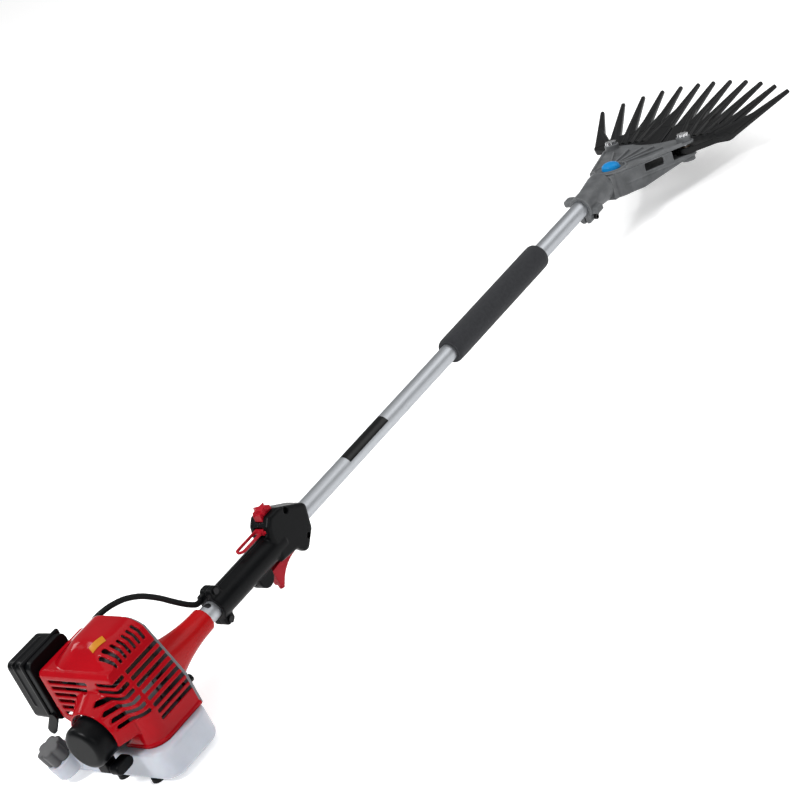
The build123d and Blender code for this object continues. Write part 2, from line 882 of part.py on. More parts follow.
# Crankshaft, flywheel fan and centrifugal clutch, which turn as one
crank_front_x = drum_back - drum_room
crank_rear_x = case_rear_x - crank_end
with BuildPart() as crankshaft:
    with BuildSketch(station(crank_rear_x)):
        Circle(crank_r)
    extrude(amount=crank_front_x - crank_rear_x)
keep(crankshaft.part, "crankshaft")
flywheel_x = case_front_x + case_boss + flywheel_gap
with BuildPart() as flywheel_fan:
    with BuildSketch(station(flywheel_x)):
        Circle(flywheel_r)
        Circle(crank_r, mode=Mode.SUBTRACT)
    extrude(amount=flywheel_thick)
    with BuildSketch(station(flywheel_x + flywheel_thick)):
        with PolarLocations((fan_blade_inner + flywheel_r) / 2, fan_blade_count):
            Rectangle(flywheel_r - fan_blade_inner, fan_blade_thick)
    extrude(amount=fan_blade_height)
keep(flywheel_fan.part, "flywheel_fan")
shoe_x = drum_x - drum_length
carrier_x = shoe_x - carrier_gap - carrier_thick
shoe_r = drum_r - drum_wall - shoe_gap
shoe_pin_y = (shoe_inner_r + shoe_r) / 2
with BuildPart() as clutch_carrier:
    with BuildSketch(station(carrier_x)):
        SlotCenterToCenter(2 * shoe_pin_y, 2 * carrier_r)
        Circle(crank_r, mode=Mode.SUBTRACT)
    extrude(amount=carrier_thick)
    with BuildSketch(station(carrier_x + carrier_thick)):
        with Locations((-shoe_pin_y, 0), (shoe_pin_y, 0)):
            Circle(shoe_pin_r)
    extrude(amount=shoe_width + carrier_gap)
keep(clutch_carrier.part, "clutch_carrier")
with BuildPart() as clutch_shoes:
    with BuildSketch(station(carrier_x + carrier_thick)):
        Circle(shoe_r)
        Circle(shoe_inner_r, mode=Mode.SUBTRACT)
        Rectangle(shoe_split, 3 * shoe_r, mode=Mode.SUBTRACT)
        with Locations((-shoe_pin_y, 0), (shoe_pin_y, 0)):
            Circle(shoe_pin_r + running_fit, mode=Mode.SUBTRACT)
    extrude(amount=shoe_width)
keep(clutch_shoes.part, "clutch_shoes")

# Fuel tank below the engine, lower on the left under the filler neck
cap_direction = Vector(-sin(radians(cap_tilt)), sin(radians(cap_tilt)) / 2, cos(radians(cap_tilt)))
neck_plane = Plane(origin=(x_nose + cap_x, cap_y, axis_height + tank_top - tank_step), x_dir=(0, 1, 0),
                   z_dir=cap_direction)
tank_middle = ((tank_rear_x + tank_front_x) / 2, (tank_left - tank_right) / 2)
with BuildPart() as fuel_tank:
    with BuildSketch(level(tank_bottom)):
        with Locations(tank_middle):
            RectangleRounded(tank_front_x - tank_rear_x, tank_left + tank_right, tank_corner)
    extrude(amount=tank_top - tank_bottom)
    block((tank_rear_x - overcut, tank_front_x + overcut), (tank_step_y, tank_left + overcut),
          (tank_top - tank_step, tank_top + overcut), Mode.SUBTRACT)
    fillet(fuel_tank.faces().sort_by(Axis.Z)[0].edges(), tank_edge)
    fillet(fuel_tank.faces().filter_by(Axis.Z).sort_by(Axis.Z)[-1].edges(), tank_top_edge)
    with BuildSketch(neck_plane):
        Circle(neck_bulge_r)
    extrude(amount=-neck_bulge_depth)
    with BuildSketch(neck_plane):
        Circle(neck_r)
    extrude(amount=neck_height)
keep(fuel_tank.part, "fuel_tank")
with BuildPart() as tank_feet:
    with BuildSketch(level(-axis_height)):
        with Locations((tank_rear_x + foot_inset_x, -foot_right), (tank_rear_x + foot_inset_x, foot_left),
                       (tank_front_x - foot_inset_x, -foot_right), (tank_front_x - foot_inset_x, foot_left)):
            Circle(foot_r)
    extrude(amount=foot_height)
keep(tank_feet.part, "tank_feet")

# Fuel cap: a lobed knob over the filler neck
with BuildPart() as fuel_cap:
    with BuildSketch(neck_plane.offset(clearance)):
        Circle(cap_r - cap_lobe_r / 2)
        with PolarLocations(cap_r - cap_lobe_r, cap_lobes):
            Circle(cap_lobe_r)
    extrude(amount=cap_height)
    fillet(fuel_cap.faces().sort_by(Axis.Z)[-1].edges(), cap_edge)
    with BuildSketch(neck_plane):
        Circle(neck_r + running_fit)
    extrude(amount=neck_height + clearance, mode=Mode.SUBTRACT)
keep(fuel_cap.part, "fuel_cap")

# Oil filler cap on the front plate
with BuildPart() as oil_cap:
    with BuildSketch(station(-bell_length + clearance)):
        with Locations((oil_cap_y, oil_cap_z)):
            RegularPolygon(oil_cap_r, oil_cap_sides)
    extrude(amount=oil_cap_length)
    with BuildSketch(station(plate_x)):
        with Locations((oil_cap_y, oil_cap_z)):
            Circle(oil_spigot_r)
    extrude(amount=plate_thick + clearance)
keep(oil_cap.part, "oil_cap")

# Recoil starter: a black dome on the back of the crankcase, with its rope outlet and grip
with BuildPart() as starter_housing:
    with BuildSketch(station(case_rear_x)):
        Circle(starter_flange_r)
    extrude(amount=-starter_flange)
    with BuildSketch(station(case_rear_x)):
        Circle(starter_r)
    extrude(amount=starter_rear_x - case_rear_x)
    fillet(starter_housing.faces().sort_by(Axis.X)[0].edges(), starter_edge)
    block((grip_x - outlet_half, grip_x + outlet_half), (-outlet_half, outlet_half),
          (grip_z - outlet_half, 0))
    with BuildSketch(station(case_rear_x)):
        Circle(crank_pocket_r)
    extrude(amount=-crank_end - overcut, mode=Mode.SUBTRACT)
keep(starter_housing.part, "starter_housing")
with BuildPart() as starter_grip:
    with BuildSketch(side(grip_y)):
        with Locations((grip_x, grip_z)):
            SlotOverall(grip_bar, 2 * grip_bar_r)
    extrude(amount=grip_bar_r, both=True)
    fillet(starter_grip.edges().filter_by(GeomType.LINE), grip_edge)
    with BuildSketch(side(-outlet_half - clearance)):
        with Locations((grip_x, grip_z)):
            Circle(grip_stem_r)
    extrude(amount=-outlet_half - clearance - grip_y)
keep(starter_grip.part, "starter_grip")

# Throttle handle: grip tube, clamp ears and trigger housing, split along the pole into two halves
with BuildPart() as handle:
    with BuildSketch(station(handle_rear_x)):
        Circle(handle_grip_r)
    extrude(amount=handle_nose_x - handle_rear_x + ear_length)
    with BuildSketch(side(0)):
        with Locations((handle_rear_x + ear_length / 2, 0)):
            RectangleRounded(ear_length, 2 * ear_height, ear_length / 3)
    extrude(amount=ear_half_width, both=True)
    with BuildSketch(station(handle_rear_x)):
        with Locations((cable_y, cable_z)):
            Circle(cable_boss_r)
    extrude(amount=cable_boss)
    with BuildPart(mode=Mode.PRIVATE) as housing:
        with BuildSketch(side(0)) as outline:
            with BuildLine():
                Polyline((handle_nose_x - nose_back, handle_grip_r), (handle_nose_x, handle_top - nose_rake),
                         (handle_nose_x + nose_rake, handle_top), (handle_front_x - front_bevel, handle_top),
                         (handle_front_x, front_drop), (handle_front_x - nose_rake, -front_drop),
                         (trigger_pin_x + nose_back, handle_bottom),
                         (trigger_pin_x - nose_rake, -handle_grip_r - nose_back),
                         (handle_nose_x - nose_back, -handle_grip_r), close=True)
            make_face()
            fillet(outline.vertices().sort_by(Axis.X)[-5:], handle_corner)
        extrude(amount=handle_half_width, both=True)
        fillet(housing.faces().sort_by(Axis.Y)[0].edges(), handle_edge)
        fillet(housing.faces().sort_by(Axis.Y)[-1].edges(), handle_edge)
    add(housing.part)
    with BuildSketch(side(0)):
        with Locations((guard_x, guard_z)):
            Circle(guard_r)
    extrude(amount=trigger_pocket + guard_cheek, both=True)
    with BuildSketch(station(handle_rear_x)):
        Circle(pole_r)
    extrude(amount=handle_front_x - handle_rear_x, mode=Mode.SUBTRACT)
    block((trigger_rear_x, trigger_pin_x + trigger_front), (-trigger_pocket, trigger_pocket),
          (handle_bottom - guard_r, pocket_top), Mode.SUBTRACT)
    block((handle_nose_x - 2 * nose_back, lock_pin_x + lock_front),
          (-lock_half_width - clearance, lock_half_width + clearance),
          (lock_pin_z - lock_front, lock_pin_z + lock_front), Mode.SUBTRACT)
    block((switch_x - switch_length / 2 - switch_travel - clearance,
           switch_x + switch_length / 2 + clearance),
          (-switch_width / 2 - clearance, switch_width / 2 + clearance),
          (handle_top - switch_depth, handle_top + overcut), Mode.SUBTRACT)
    for x, z in screw_places:
        with BuildSketch(side(0)):
            with Locations((x, z)):
                Circle(screw_r + seat_gap)
        extrude(amount=2 * handle_half_width, both=True, mode=Mode.SUBTRACT)
        with BuildSketch(side(-screw_seat)):
            with Locations((x, z)):
                Circle(screw_head_r + seat_gap)
        extrude(amount=2 * handle_half_width, mode=Mode.SUBTRACT)
    for x, z in ((trigger_pin_x, trigger_pin_z), (lock_pin_x, lock_pin_z)):
        with BuildSketch(side(0)):
            with Locations((x, z)):
                Circle(trigger_pin_r + running_fit)
        extrude(amount=pin_half, both=True, mode=Mode.SUBTRACT)
middle = Plane(origin=(0, 0, 0), x_dir=(1, 0, 0), z_dir=(0, 1, 0))
with BuildPart() as handle_left:
    add(handle.part)
    split(bisect_by=middle, keep=Keep.TOP)
keep(handle_left.part, "handle_left")
with BuildPart() as handle_right:
    add(handle.part)
    split(bisect_by=middle, keep=Keep.BOTTOM)
keep(handle_right.part, "handle_right")
with BuildPart() as handle_screws:
    for x, z in screw_places:
        with BuildSketch(side(-screw_seat)):
            with Locations((x, z)):
                Circle(screw_r)
        extrude(amount=-2 * screw_seat)
        with BuildSketch(side(-screw_seat)):
            with Locations((x, z)):
                Circle(screw_head_r)
        extrude(amount=screw_head)
keep(handle_screws.part, "handle_screws")

# Throttle trigger on its pin, lockout lever on the back of the housing, and stop switch on top
with BuildPart() as trigger:
    with BuildSketch(side(0)):
        with BuildLine():
            Polyline((trigger_pin_x, trigger_pin_z + trigger_hub_r),
                     (trigger_pin_x - trigger_reach, trigger_pin_z),
                     (trigger_pin_x - trigger_reach + trigger_heel / 2,
                      trigger_pin_z - trigger_drop + trigger_heel),
                     (trigger_pin_x - trigger_reach + 2 * trigger_heel, trigger_pin_z - trigger_drop))
            ThreePointArc((trigger_pin_x - trigger_reach + 2 * trigger_heel, trigger_pin_z - trigger_drop),
                          (trigger_pin_x - trigger_bow_x, trigger_pin_z - trigger_bow_z),
                          (trigger_pin_x + trigger_hub_r / 2, trigger_pin_z - trigger_hub_r))
            Line((trigger_pin_x + trigger_hub_r / 2, trigger_pin_z - trigger_hub_r),
                 (trigger_pin_x, trigger_pin_z + trigger_hub_r))
        make_face()
        with Locations((trigger_pin_x, trigger_pin_z)):
            Circle(trigger_hub_r)
    extrude(amount=trigger_half_width, both=True)
    with BuildSketch(side(0)):
        with Locations((trigger_pin_x, trigger_pin_z)):
            Circle(trigger_pin_r)
    extrude(amount=pin_half - clearance, both=True)
keep(trigger.part, "trigger")
with BuildPart() as lockout_lever:
    with BuildSketch(level(lock_pin_z + lock_rise)):
        with Locations((lock_pin_x - lock_length / 2, 0)):
            RectangleRounded(lock_length, 2 * lock_half_width, lock_half_width - lock_flat)
            RectangleRounded(lock_length - 2 * lock_bar, 2 * (lock_half_width - lock_bar),
                             lock_half_width - lock_bar - lock_flat, mode=Mode.SUBTRACT)
    extrude(amount=lock_bar)
    with BuildSketch(side(0)):
        with Locations((lock_pin_x, lock_pin_z)):
            Circle(lock_hub_r)
    extrude(amount=lock_half_width, both=True)
    with BuildSketch(side(0)):
        with Locations((lock_pin_x, lock_pin_z)):
            Circle(trigger_pin_r)
    extrude(amount=pin_half - clearance, both=True)
keep(lockout_lever.part, "lockout_lever")
with BuildPart() as stop_switch:
    block((switch_x - switch_length / 2, switch_x + switch_length / 2), (-switch_width / 2, switch_width / 2),
          (handle_top - switch_depth + clearance, handle_top + switch_height))
    fillet(stop_switch.faces().sort_by(Axis.Z)[-1].edges(), switch_edge)
keep(stop_switch.part, "stop_switch")


def tube(points, radius):
    """A round cord along straight runs joined by arcs as large as the runs allow."""
    corners = [Vector(*point) for point in points]
    radii = []
    for before, corner, after in zip(corners, corners[1:], corners[2:]):
        turn = radians((corner - before).get_angle(after - corner))
        radii.append(arc_share * min((corner - before).length, (after - corner).length) / tan(turn / 2))
    with BuildPart() as cord:
        with BuildLine() as route:
            FilletPolyline(*points, radius=radii)
        with BuildSketch(Plane(origin=route.line @ 0, z_dir=route.line % 0)):
            Circle(radius)
        sweep()
    length = route.wire().length
    print("cord radii", [round(value, 1) for value in radii], "length", round(length, 1))
    print("volume over section times length", round(cord.part.volume / (pi * radius ** 2 * length), 4))
    return cord.part


def place(x, y, z):
    """A point from its station, side and height over the pole axis."""
    return (x_nose + x, y, axis_height + z)


# Throttle cable in its sheath, from the clamp ear of the handle over the bell to the carburettor
throttle_cable = tube([place(handle_rear_x, cable_y, cable_z), place(12, cable_y, cable_z), place(2, 18, 22),
                       place(-10, 24, 36), place(-26, 29, 56),
                       place(-45, 35, 74), place(carb_front_x + 81, 41, 85),
                       place(carb_front_x + 61, 49, 88), place(carb_front_x + 45, 60, 84),
                       place(carb_front_x + 38, 71, 75),
                       place(carb_front_x + 34, 77, 65), place(carb_front_x + 25, 78, 57),
                       place(carb_front_x + 13, carb_top_y, 54),
                       place(carb_front_x, carb_top_y, 54)], cable_r)
keep(throttle_cable, "throttle_cable")

# Fuel hose from the low side of the tank up to the carburettor bowl
fuel_hose = tube([place(cylinder_x - 8, 56, tank_top - tank_step), place(cylinder_x - 8, 56, -38),
                  place(cylinder_x - 6, 58, -22), place(cylinder_x - 2, 62, -4),
                  place(cylinder_x, carb_middle_y, 10),
                  place(cylinder_x, carb_middle_y, carb_z - carb_height / 2 - carb_bowl)], hose_r)
keep(fuel_hose, "fuel_hose")

# Foam grip round the pole
with BuildPart() as foam_grip:
    with BuildSketch(station(foam_x)):
        Circle(foam_r)
        Circle(pole_r + seat_gap, mode=Mode.SUBTRACT)
    extrude(amount=foam_length)
    fillet(foam_grip.edges().filter_by(GeomType.CIRCLE).group_by(SortBy.RADIUS)[-1], foam_edge)
keep(foam_grip.part, "foam_grip")

# Head neck: split clamp on the end of the pole, widening to the gear case
parting_plane = Plane(origin=head(0).from_local_coords((-parting, 0, 0)), x_dir=head(0).y_dir,
                      z_dir=head(0).x_dir)
with BuildPart() as head_neck:
    with BuildSketch(side(0)):
        with BuildLine():
            Polyline((neck_x, 0), (neck_x, neck_clamp_r), (neck_x + neck_clamp_length, neck_clamp_r),
                     (pole_front, neck_case_r), (head_x, neck_case_r), (head_x, 0), close=True)
        make_face()
    revolve(axis=pole_axis)
    split(bisect_by=parting_plane, keep=Keep.BOTTOM)
    block((neck_x, neck_x + neck_clamp_length), (-neck_ear_half, neck_ear_half),
          (-neck_clamp_r - neck_ear_height, 0))
    fillet(head_neck.edges().filter_by(Axis.X).sort_by(Axis.Z)[:2], neck_ear_half / 2)
    with BuildSketch(station(neck_x)):
        Circle(pole_r)
    extrude(amount=neck_overlap, mode=Mode.SUBTRACT)
    with BuildSketch(station(neck_x)):
        Circle(shaft_r + neck_shaft_room)
    extrude(amount=head_x - neck_x, mode=Mode.SUBTRACT)
    block((neck_x - overcut, neck_x + neck_clamp_length + overcut), (-neck_slit / 2, neck_slit / 2),
          (-neck_clamp_r - neck_ear_height - overcut, 0), Mode.SUBTRACT)
    with BuildSketch(side(0)):
        with Locations((neck_x + neck_clamp_length / 2, neck_screw_z)):
            Circle(bolt_r + seat_gap)
    extrude(amount=2 * neck_ear_half, both=True, mode=Mode.SUBTRACT)
keep(head_neck.part, "head_neck")
with BuildPart() as clamp_screw:
    with BuildSketch(side(neck_ear_half)):
        with Locations((neck_x + neck_clamp_length / 2, neck_screw_z)):
            Circle(bolt_r)
    extrude(amount=2 * neck_ear_half)
    with BuildSketch(side(-neck_ear_half)):
        with Locations((neck_x + neck_clamp_length / 2, neck_screw_z)):
            Circle(bolt_head_r)
            RegularPolygon(bolt_r, 6, mode=Mode.SUBTRACT)
    extrude(amount=bolt_head)
keep(clamp_screw.part, "clamp_screw")
with BuildPart() as pinion_bearing:
    with BuildSketch(station(pole_front)):
        Circle(shaft_r + neck_shaft_room)
        Circle(shaft_r + running_fit, mode=Mode.SUBTRACT)
    extrude(amount=pinion_bearing_width)
keep(pinion_bearing.part, "pinion_bearing")

# Pinion on the end of the drive shaft
tooth_width = tooth_share * 2 * pi * pinion_pitch_r / pinion_teeth
with BuildPart() as pinion:
    with BuildSketch(station(pinion_front - pinion_length)):
        Circle(pinion_pitch_r - tooth_depth)
        with PolarLocations(pinion_pitch_r - tooth_depth / 2, pinion_teeth, start_angle=-90):
            Rectangle(2 * tooth_depth, tooth_width)
    extrude(amount=pinion_length)
keep(pinion.part, "pinion")


def wedge_outline(growth):
    """Outline of the head: the gear case drawn out to the two comb pivots."""
    Circle(case_r + growth)
    with Locations((pivot_x, -pivot_y), (pivot_x, pivot_y)):
        Circle(pivot_boss_r + growth)
    make_hull()


pivots = ((pivot_x, -pivot_y), (pivot_x, pivot_y))

# Head housing: floor, gear pit with its sloping belly, side walls with their windows, and lower bosses
belly_plane = Plane(head(gear_pit_floor - head_wall) * Location((belly_start, 0, 0), (0, -belly_rise, 0)))
with BuildPart() as head_housing:
    with BuildSketch(head(head_floor - head_floor_thick)):
        wedge_outline(0)
        with Locations((pivot_x + front_arc_x, 0)):
            Circle(front_arc_r, mode=Mode.SUBTRACT)
    extrude(amount=head_floor_thick)
    with BuildSketch(head(head_floor)):
        wedge_outline(0)
        with BuildSketch(mode=Mode.PRIVATE) as inner:
            wedge_outline(-head_wall)
        add(inner.sketch, mode=Mode.SUBTRACT)
        with Locations((arm_open_x + pivot_x, 0)):
            Rectangle(2 * pivot_x, 4 * pivot_y, mode=Mode.SUBTRACT)
    extrude(amount=head_roof - head_floor)
    with BuildSketch(head(gear_pit_floor - head_wall)):
        Circle(case_r)
        with Locations((-parting / 2, 0)):
            Rectangle(parting, 2 * neck_case_r)
    extrude(amount=head_roof - gear_pit_floor + head_wall)
    with BuildPart(mode=Mode.PRIVATE) as belly:
        with BuildSketch(head(gear_pit_floor - head_wall)):
            wedge_outline(-belly_margin)
            with Locations((pivot_x + front_arc_x, 0)):
                Circle(front_arc_r + belly_margin, mode=Mode.SUBTRACT)
        extrude(amount=head_floor - gear_pit_floor)
        split(bisect_by=belly_plane, keep=Keep.TOP)
    add(belly.part)
    with BuildSketch(head(gear_pit_floor)):
        Circle(case_r - head_wall)
    extrude(amount=head_roof - gear_pit_floor, mode=Mode.SUBTRACT)
    with BuildSketch(head(head_floor)):
        with BuildSketch(mode=Mode.PRIVATE) as room:
            wedge_outline(-head_wall)
        add(room.sketch)
        Rectangle(2 * case_r, 4 * case_r, align=(Align.MAX, Align.CENTER), mode=Mode.SUBTRACT)
    extrude(amount=head_roof - head_floor, mode=Mode.SUBTRACT)
    with BuildSketch(head(pivot_boss_bottom)):
        with Locations(*pivots):
            Circle(pivot_boss_r - head_wall)
    extrude(amount=head_floor - head_floor_thick - pivot_boss_bottom)
    with BuildSketch(head(pivot_boss_bottom)):
        with Locations(*pivots):
            Circle(pivot_screw_r)
    extrude(amount=head_floor - pivot_boss_bottom, mode=Mode.SUBTRACT)
    with BuildSketch(head(head_floor + window_sill)):
        with Locations((window_x, 0)):
            Rectangle(window_length, 4 * pivot_y)
    extrude(amount=window_height, mode=Mode.SUBTRACT)
    with BuildSketch(station(pole_front)):
        Circle(shaft_r + neck_shaft_room)
    extrude(amount=head_gap, mode=Mode.SUBTRACT)
keep(head_housing.part, "head_housing")

# Head cover: ribbed top plate with the upper bosses of the comb pivots
with BuildPart() as head_cover:
    with BuildSketch(head(head_roof)):
        wedge_outline(0)
        with Locations((pivot_x + front_arc_x, 0)):
            Circle(front_arc_r, mode=Mode.SUBTRACT)
    extrude(amount=head_roof_thick)
    with BuildSketch(head(head_roof + head_roof_thick)):
        for turn in range(-rib_count, rib_count + 1):
            with Locations(Location((0, 0, 0), (0, 0, turn * rib_spread))):
                with Locations((rib_start + rib_length / 2, 0)):
                    Rectangle(rib_length, rib_thick)
    extrude(amount=rib_height)
    with BuildSketch(head(head_roof)):
        with Locations(*pivots):
            Circle(pivot_boss_r - head_wall)
    extrude(amount=pivot_boss_top - head_roof)
    with BuildSketch(head(head_roof)):
        with Locations(*pivots):
            Circle(pivot_screw_r)
    extrude(amount=pivot_boss_top - head_roof, mode=Mode.SUBTRACT)
keep(head_cover.part, "head_cover")
with BuildPart() as grease_cap:
    with BuildSketch(head(head_roof + head_roof_thick)):
        with Locations((-cap_back, -cap_right)):
            Circle(blue_cap_r)
    extrude(amount=blue_cap_height)
    fillet(grease_cap.edges().sort_by(Axis.Z)[-1], blue_cap_edge)
keep(grease_cap.part, "grease_cap")

# Crown gear with its stub shaft, crank pin and the bearing that it turns in
mesh_height = -tan(radians(head_pitch)) * gear_pitch_r - pinion_pitch_r / cos(radians(head_pitch))
with BuildPart() as crown_gear:
    with BuildSketch(head(mesh_height - gear_drop - gear_thick)):
        Circle(gear_r)
    extrude(amount=gear_thick)
    for turn in range(gear_teeth):
        angle = (turn + 0.5) * 360 / gear_teeth
        spoke = head(mesh_height) * Location((0, 0, 0), (0, 0, angle))
        tooth = spoke * Location((gear_pitch_r, 0, 0), (0, head_pitch, 0))
        with BuildSketch(Plane(tooth)):
            Rectangle(tooth_face, tooth_width)
        extrude(amount=tooth_depth / 2)
        with BuildSketch(Plane(tooth)):
            Rectangle(tooth_face, tooth_width)
        extrude(amount=-gear_drop - tooth_depth)
    with BuildSketch(head(mesh_height - gear_drop - gear_thick)):
        Circle(gear_stub_r)
    extrude(amount=-gear_stub)
    with BuildSketch(head(mesh_height - gear_drop)):
        with Locations((crank_throw, 0)):
            Circle(crank_pin_r)
    extrude(amount=rod_lift + 2 * rod_thick + rod_step - mesh_height + gear_drop)
keep(crown_gear.part, "crown_gear")
with BuildPart() as gear_bearing:
    with BuildSketch(head(gear_pit_floor)):
        Circle(2 * gear_stub_r)
        Circle(gear_stub_r + running_fit, mode=Mode.SUBTRACT)
    extrude(amount=mesh_height - gear_drop - gear_thick - gear_pit_floor - clearance)
keep(gear_bearing.part, "gear_bearing")


def rod(lift, hand):
    """Connecting rod: a wide strap round the crank and an eye on the comb's drive pin."""
    with BuildPart() as piece:
        with BuildSketch(head(lift)):
            Circle(rod_ring_r + rod_ring_wall)
            with Locations((pivot_x, hand * (pivot_y - rod_arm))):
                Circle(rod_pin_r + rod_eye_play + rod_eye_wall)
            with BuildLine():
                Polyline((0, 0), (pivot_x, hand * (pivot_y - rod_arm)))
            trace(line_width=2 * rod_eye_wall)
            Circle(rod_ring_r, mode=Mode.SUBTRACT)
            with Locations((pivot_x, hand * (pivot_y - rod_arm))):
                Circle(rod_pin_r + rod_eye_play, mode=Mode.SUBTRACT)
        extrude(amount=rod_thick)
    return piece.part


keep(rod(rod_lift, 1), "rod_left")
keep(rod(rod_lift + rod_thick + rod_step, -1), "rod_right")

# Combs: pivot boss, drive arm, sloping palm and tapered fingers
finger_plane = Plane(head(0) * Location((finger_plane_x, 0, 0), (0, -finger_rise, 0)))


def finger_root(turn):
    """Root of one finger in the palm's plane, and the angle that it fans out by."""
    share = turn / (finger_count - 1)
    along = root_inner[0] + (root_outer[0] - root_inner[0]) * share ** 2
    across = root_inner[1] + (root_outer[1] - root_inner[1]) * share
    return along, across, finger_fan * share


with BuildPart() as comb_left:
    with BuildSketch(head(comb_top - comb_thick)):
        with Locations((pivot_x, pivot_y)):
            Circle(comb_boss_r)
        with Locations((finger_plane_x, palm_inner), (finger_plane_x, palm_outer)):
            Circle(comb_thick)
        make_hull()
        with BuildLine():
            Polyline((pivot_x, pivot_y), (pivot_x, pivot_y - rod_arm))
        trace(line_width=2 * (rod_pin_r + rod_eye_wall))
        with Locations((pivot_x, pivot_y - rod_arm)):
            Circle(rod_pin_r + rod_eye_wall)
    extrude(amount=comb_thick)
    with BuildSketch(head(comb_top)):
        with Locations((pivot_x, pivot_y - rod_arm)):
            Circle(rod_pin_r)
    extrude(amount=rod_lift + 2 * rod_thick + rod_step - comb_top)
    with BuildSketch(finger_plane.offset(-palm_thick / 2)):
        for turn in range(finger_count):
            along, across, angle = finger_root(turn)
            with Locations((along, across)):
                Circle(finger_root_width / 2)
        with Locations((0, palm_inner), (0, palm_outer)):
            Circle(comb_thick)
        make_hull()
    extrude(amount=palm_thick)
    for turn in range(finger_count):
        along, across, angle = finger_root(turn)
        spread = finger_plane * Location((along, across, 0), (0, 0, angle))
        root = Plane(spread * Location((0, 0, 0), (0, 90, 0)))
        with BuildSketch(root):
            RectangleRounded(finger_root_depth, finger_root_width, finger_tip_r)
        with BuildSketch(root.offset(finger_length)):
            RectangleRounded(2 * finger_tip_r, 2 * finger_tip_r, finger_tip_r * tip_round)
        loft(ruled=True)
    with BuildSketch(head(comb_top - comb_thick)):
        with Locations((pivot_x, pivot_y)):
            Circle(comb_bush_r)
    extrude(amount=comb_thick, mode=Mode.SUBTRACT)
keep(comb_left.part, "comb_left")
comb_right = mirror(comb_left.part, about=Plane.XZ)
keep(comb_right, "comb_right")


def comb_bush(hand):
    """Bush pressed in a comb, running on its pivot screw."""
    with BuildPart() as piece:
        with BuildSketch(head(comb_top - comb_thick)):
            with Locations((pivot_x, hand * pivot_y)):
                Circle(comb_bush_r)
                Circle(pivot_screw_r + running_fit, mode=Mode.SUBTRACT)
        extrude(amount=comb_thick)
    return piece.part


keep(comb_bush(1), "comb_bush_left")
keep(comb_bush(-1), "comb_bush_right")

# Pivot screws with star heads
with BuildPart() as pivot_screws:
    with BuildSketch(head(pivot_boss_bottom)):
        with Locations(*pivots):
            Circle(pivot_screw_r)
    extrude(amount=pivot_boss_top - pivot_boss_bottom)
    with BuildSketch(head(pivot_boss_top)):
        with Locations(*pivots):
            Circle(pivot_head_r - star_point_r)
            with PolarLocations(pivot_head_r - star_point_r, pivot_star_points):
                Circle(star_point_r)
    extrude(amount=pivot_head_height)
keep(pivot_screws.part, "pivot_screws")
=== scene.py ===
"""Coffee harvester: finishes, soft pieces and fine detail on the built part.

The scene is in metres. Sizes are written in millimetres, and mm or at() turns them to metres.
"""
import math

import bpy
from mathutils import Matrix, Vector


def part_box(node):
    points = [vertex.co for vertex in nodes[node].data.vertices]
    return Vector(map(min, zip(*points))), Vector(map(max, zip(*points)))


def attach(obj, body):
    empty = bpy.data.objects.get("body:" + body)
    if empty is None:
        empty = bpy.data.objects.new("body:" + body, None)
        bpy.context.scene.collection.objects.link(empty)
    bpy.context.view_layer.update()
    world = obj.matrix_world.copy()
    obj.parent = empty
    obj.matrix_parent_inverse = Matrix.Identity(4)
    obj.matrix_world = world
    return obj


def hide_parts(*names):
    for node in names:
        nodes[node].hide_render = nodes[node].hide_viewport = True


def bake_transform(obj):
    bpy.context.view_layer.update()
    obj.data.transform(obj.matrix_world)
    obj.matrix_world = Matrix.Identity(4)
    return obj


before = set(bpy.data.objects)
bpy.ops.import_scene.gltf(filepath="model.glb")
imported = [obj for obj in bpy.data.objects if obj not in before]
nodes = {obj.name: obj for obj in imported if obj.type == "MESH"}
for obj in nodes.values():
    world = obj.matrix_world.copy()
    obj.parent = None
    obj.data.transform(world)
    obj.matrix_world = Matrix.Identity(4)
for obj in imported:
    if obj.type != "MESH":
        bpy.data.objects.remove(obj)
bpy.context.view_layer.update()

# Pole: a drawn aluminium tube, 26 mm across, polished lengthwise and clear anodised. The clutch
# housing grips its rear end, the gear head clamps on its front end, and the handle sits between.
# Fine lines along it spread the light into a satin band, drawn coarser than real ones to show.
mm = 0.001
pole_socket = 38 * mm
pole_low, pole_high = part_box("pole_tube")
nose_x = pole_low.x + pole_socket
axis_z = (pole_low.z + pole_high.z) / 2
pole_radius = (pole_high.z - pole_low.z) / 2


def at(x, y, z):
    """A point from its station, side and height over the pole axis in millimetres."""
    return Vector((nose_x + x * mm, y * mm, axis_z + z * mm))


def linear(colour):
    """Linear colour, with full cover, from an sRGB hex value."""
    parts = [int(colour[place:place + 2], 16) / 255 for place in (1, 3, 5)]
    return [part / 12.92 if part <= 0.04045 else ((part + 0.055) / 1.055) ** 2.4
            for part in parts] + [1.0]


def add(finish, kind, inputs, feeds=None, **settings):
    """Add one shader node to a finish, link or set its inputs, and link it to what it feeds."""
    tree = finish.node_tree
    node = tree.nodes.new("ShaderNode" + kind)
    for name, value in settings.items():
        setattr(node, name, value)
    for name, value in inputs.items():
        if isinstance(value, bpy.types.NodeSocket):
            tree.links.new(value, node.inputs[name])
        else:
            node.inputs[name].default_value = linear(value) if isinstance(value, str) else value
    if feeds:
        result = next(socket for socket in node.outputs if socket.enabled)
        tree.links.new(result, tree.nodes["Principled BSDF"].inputs[feeds])
    return node


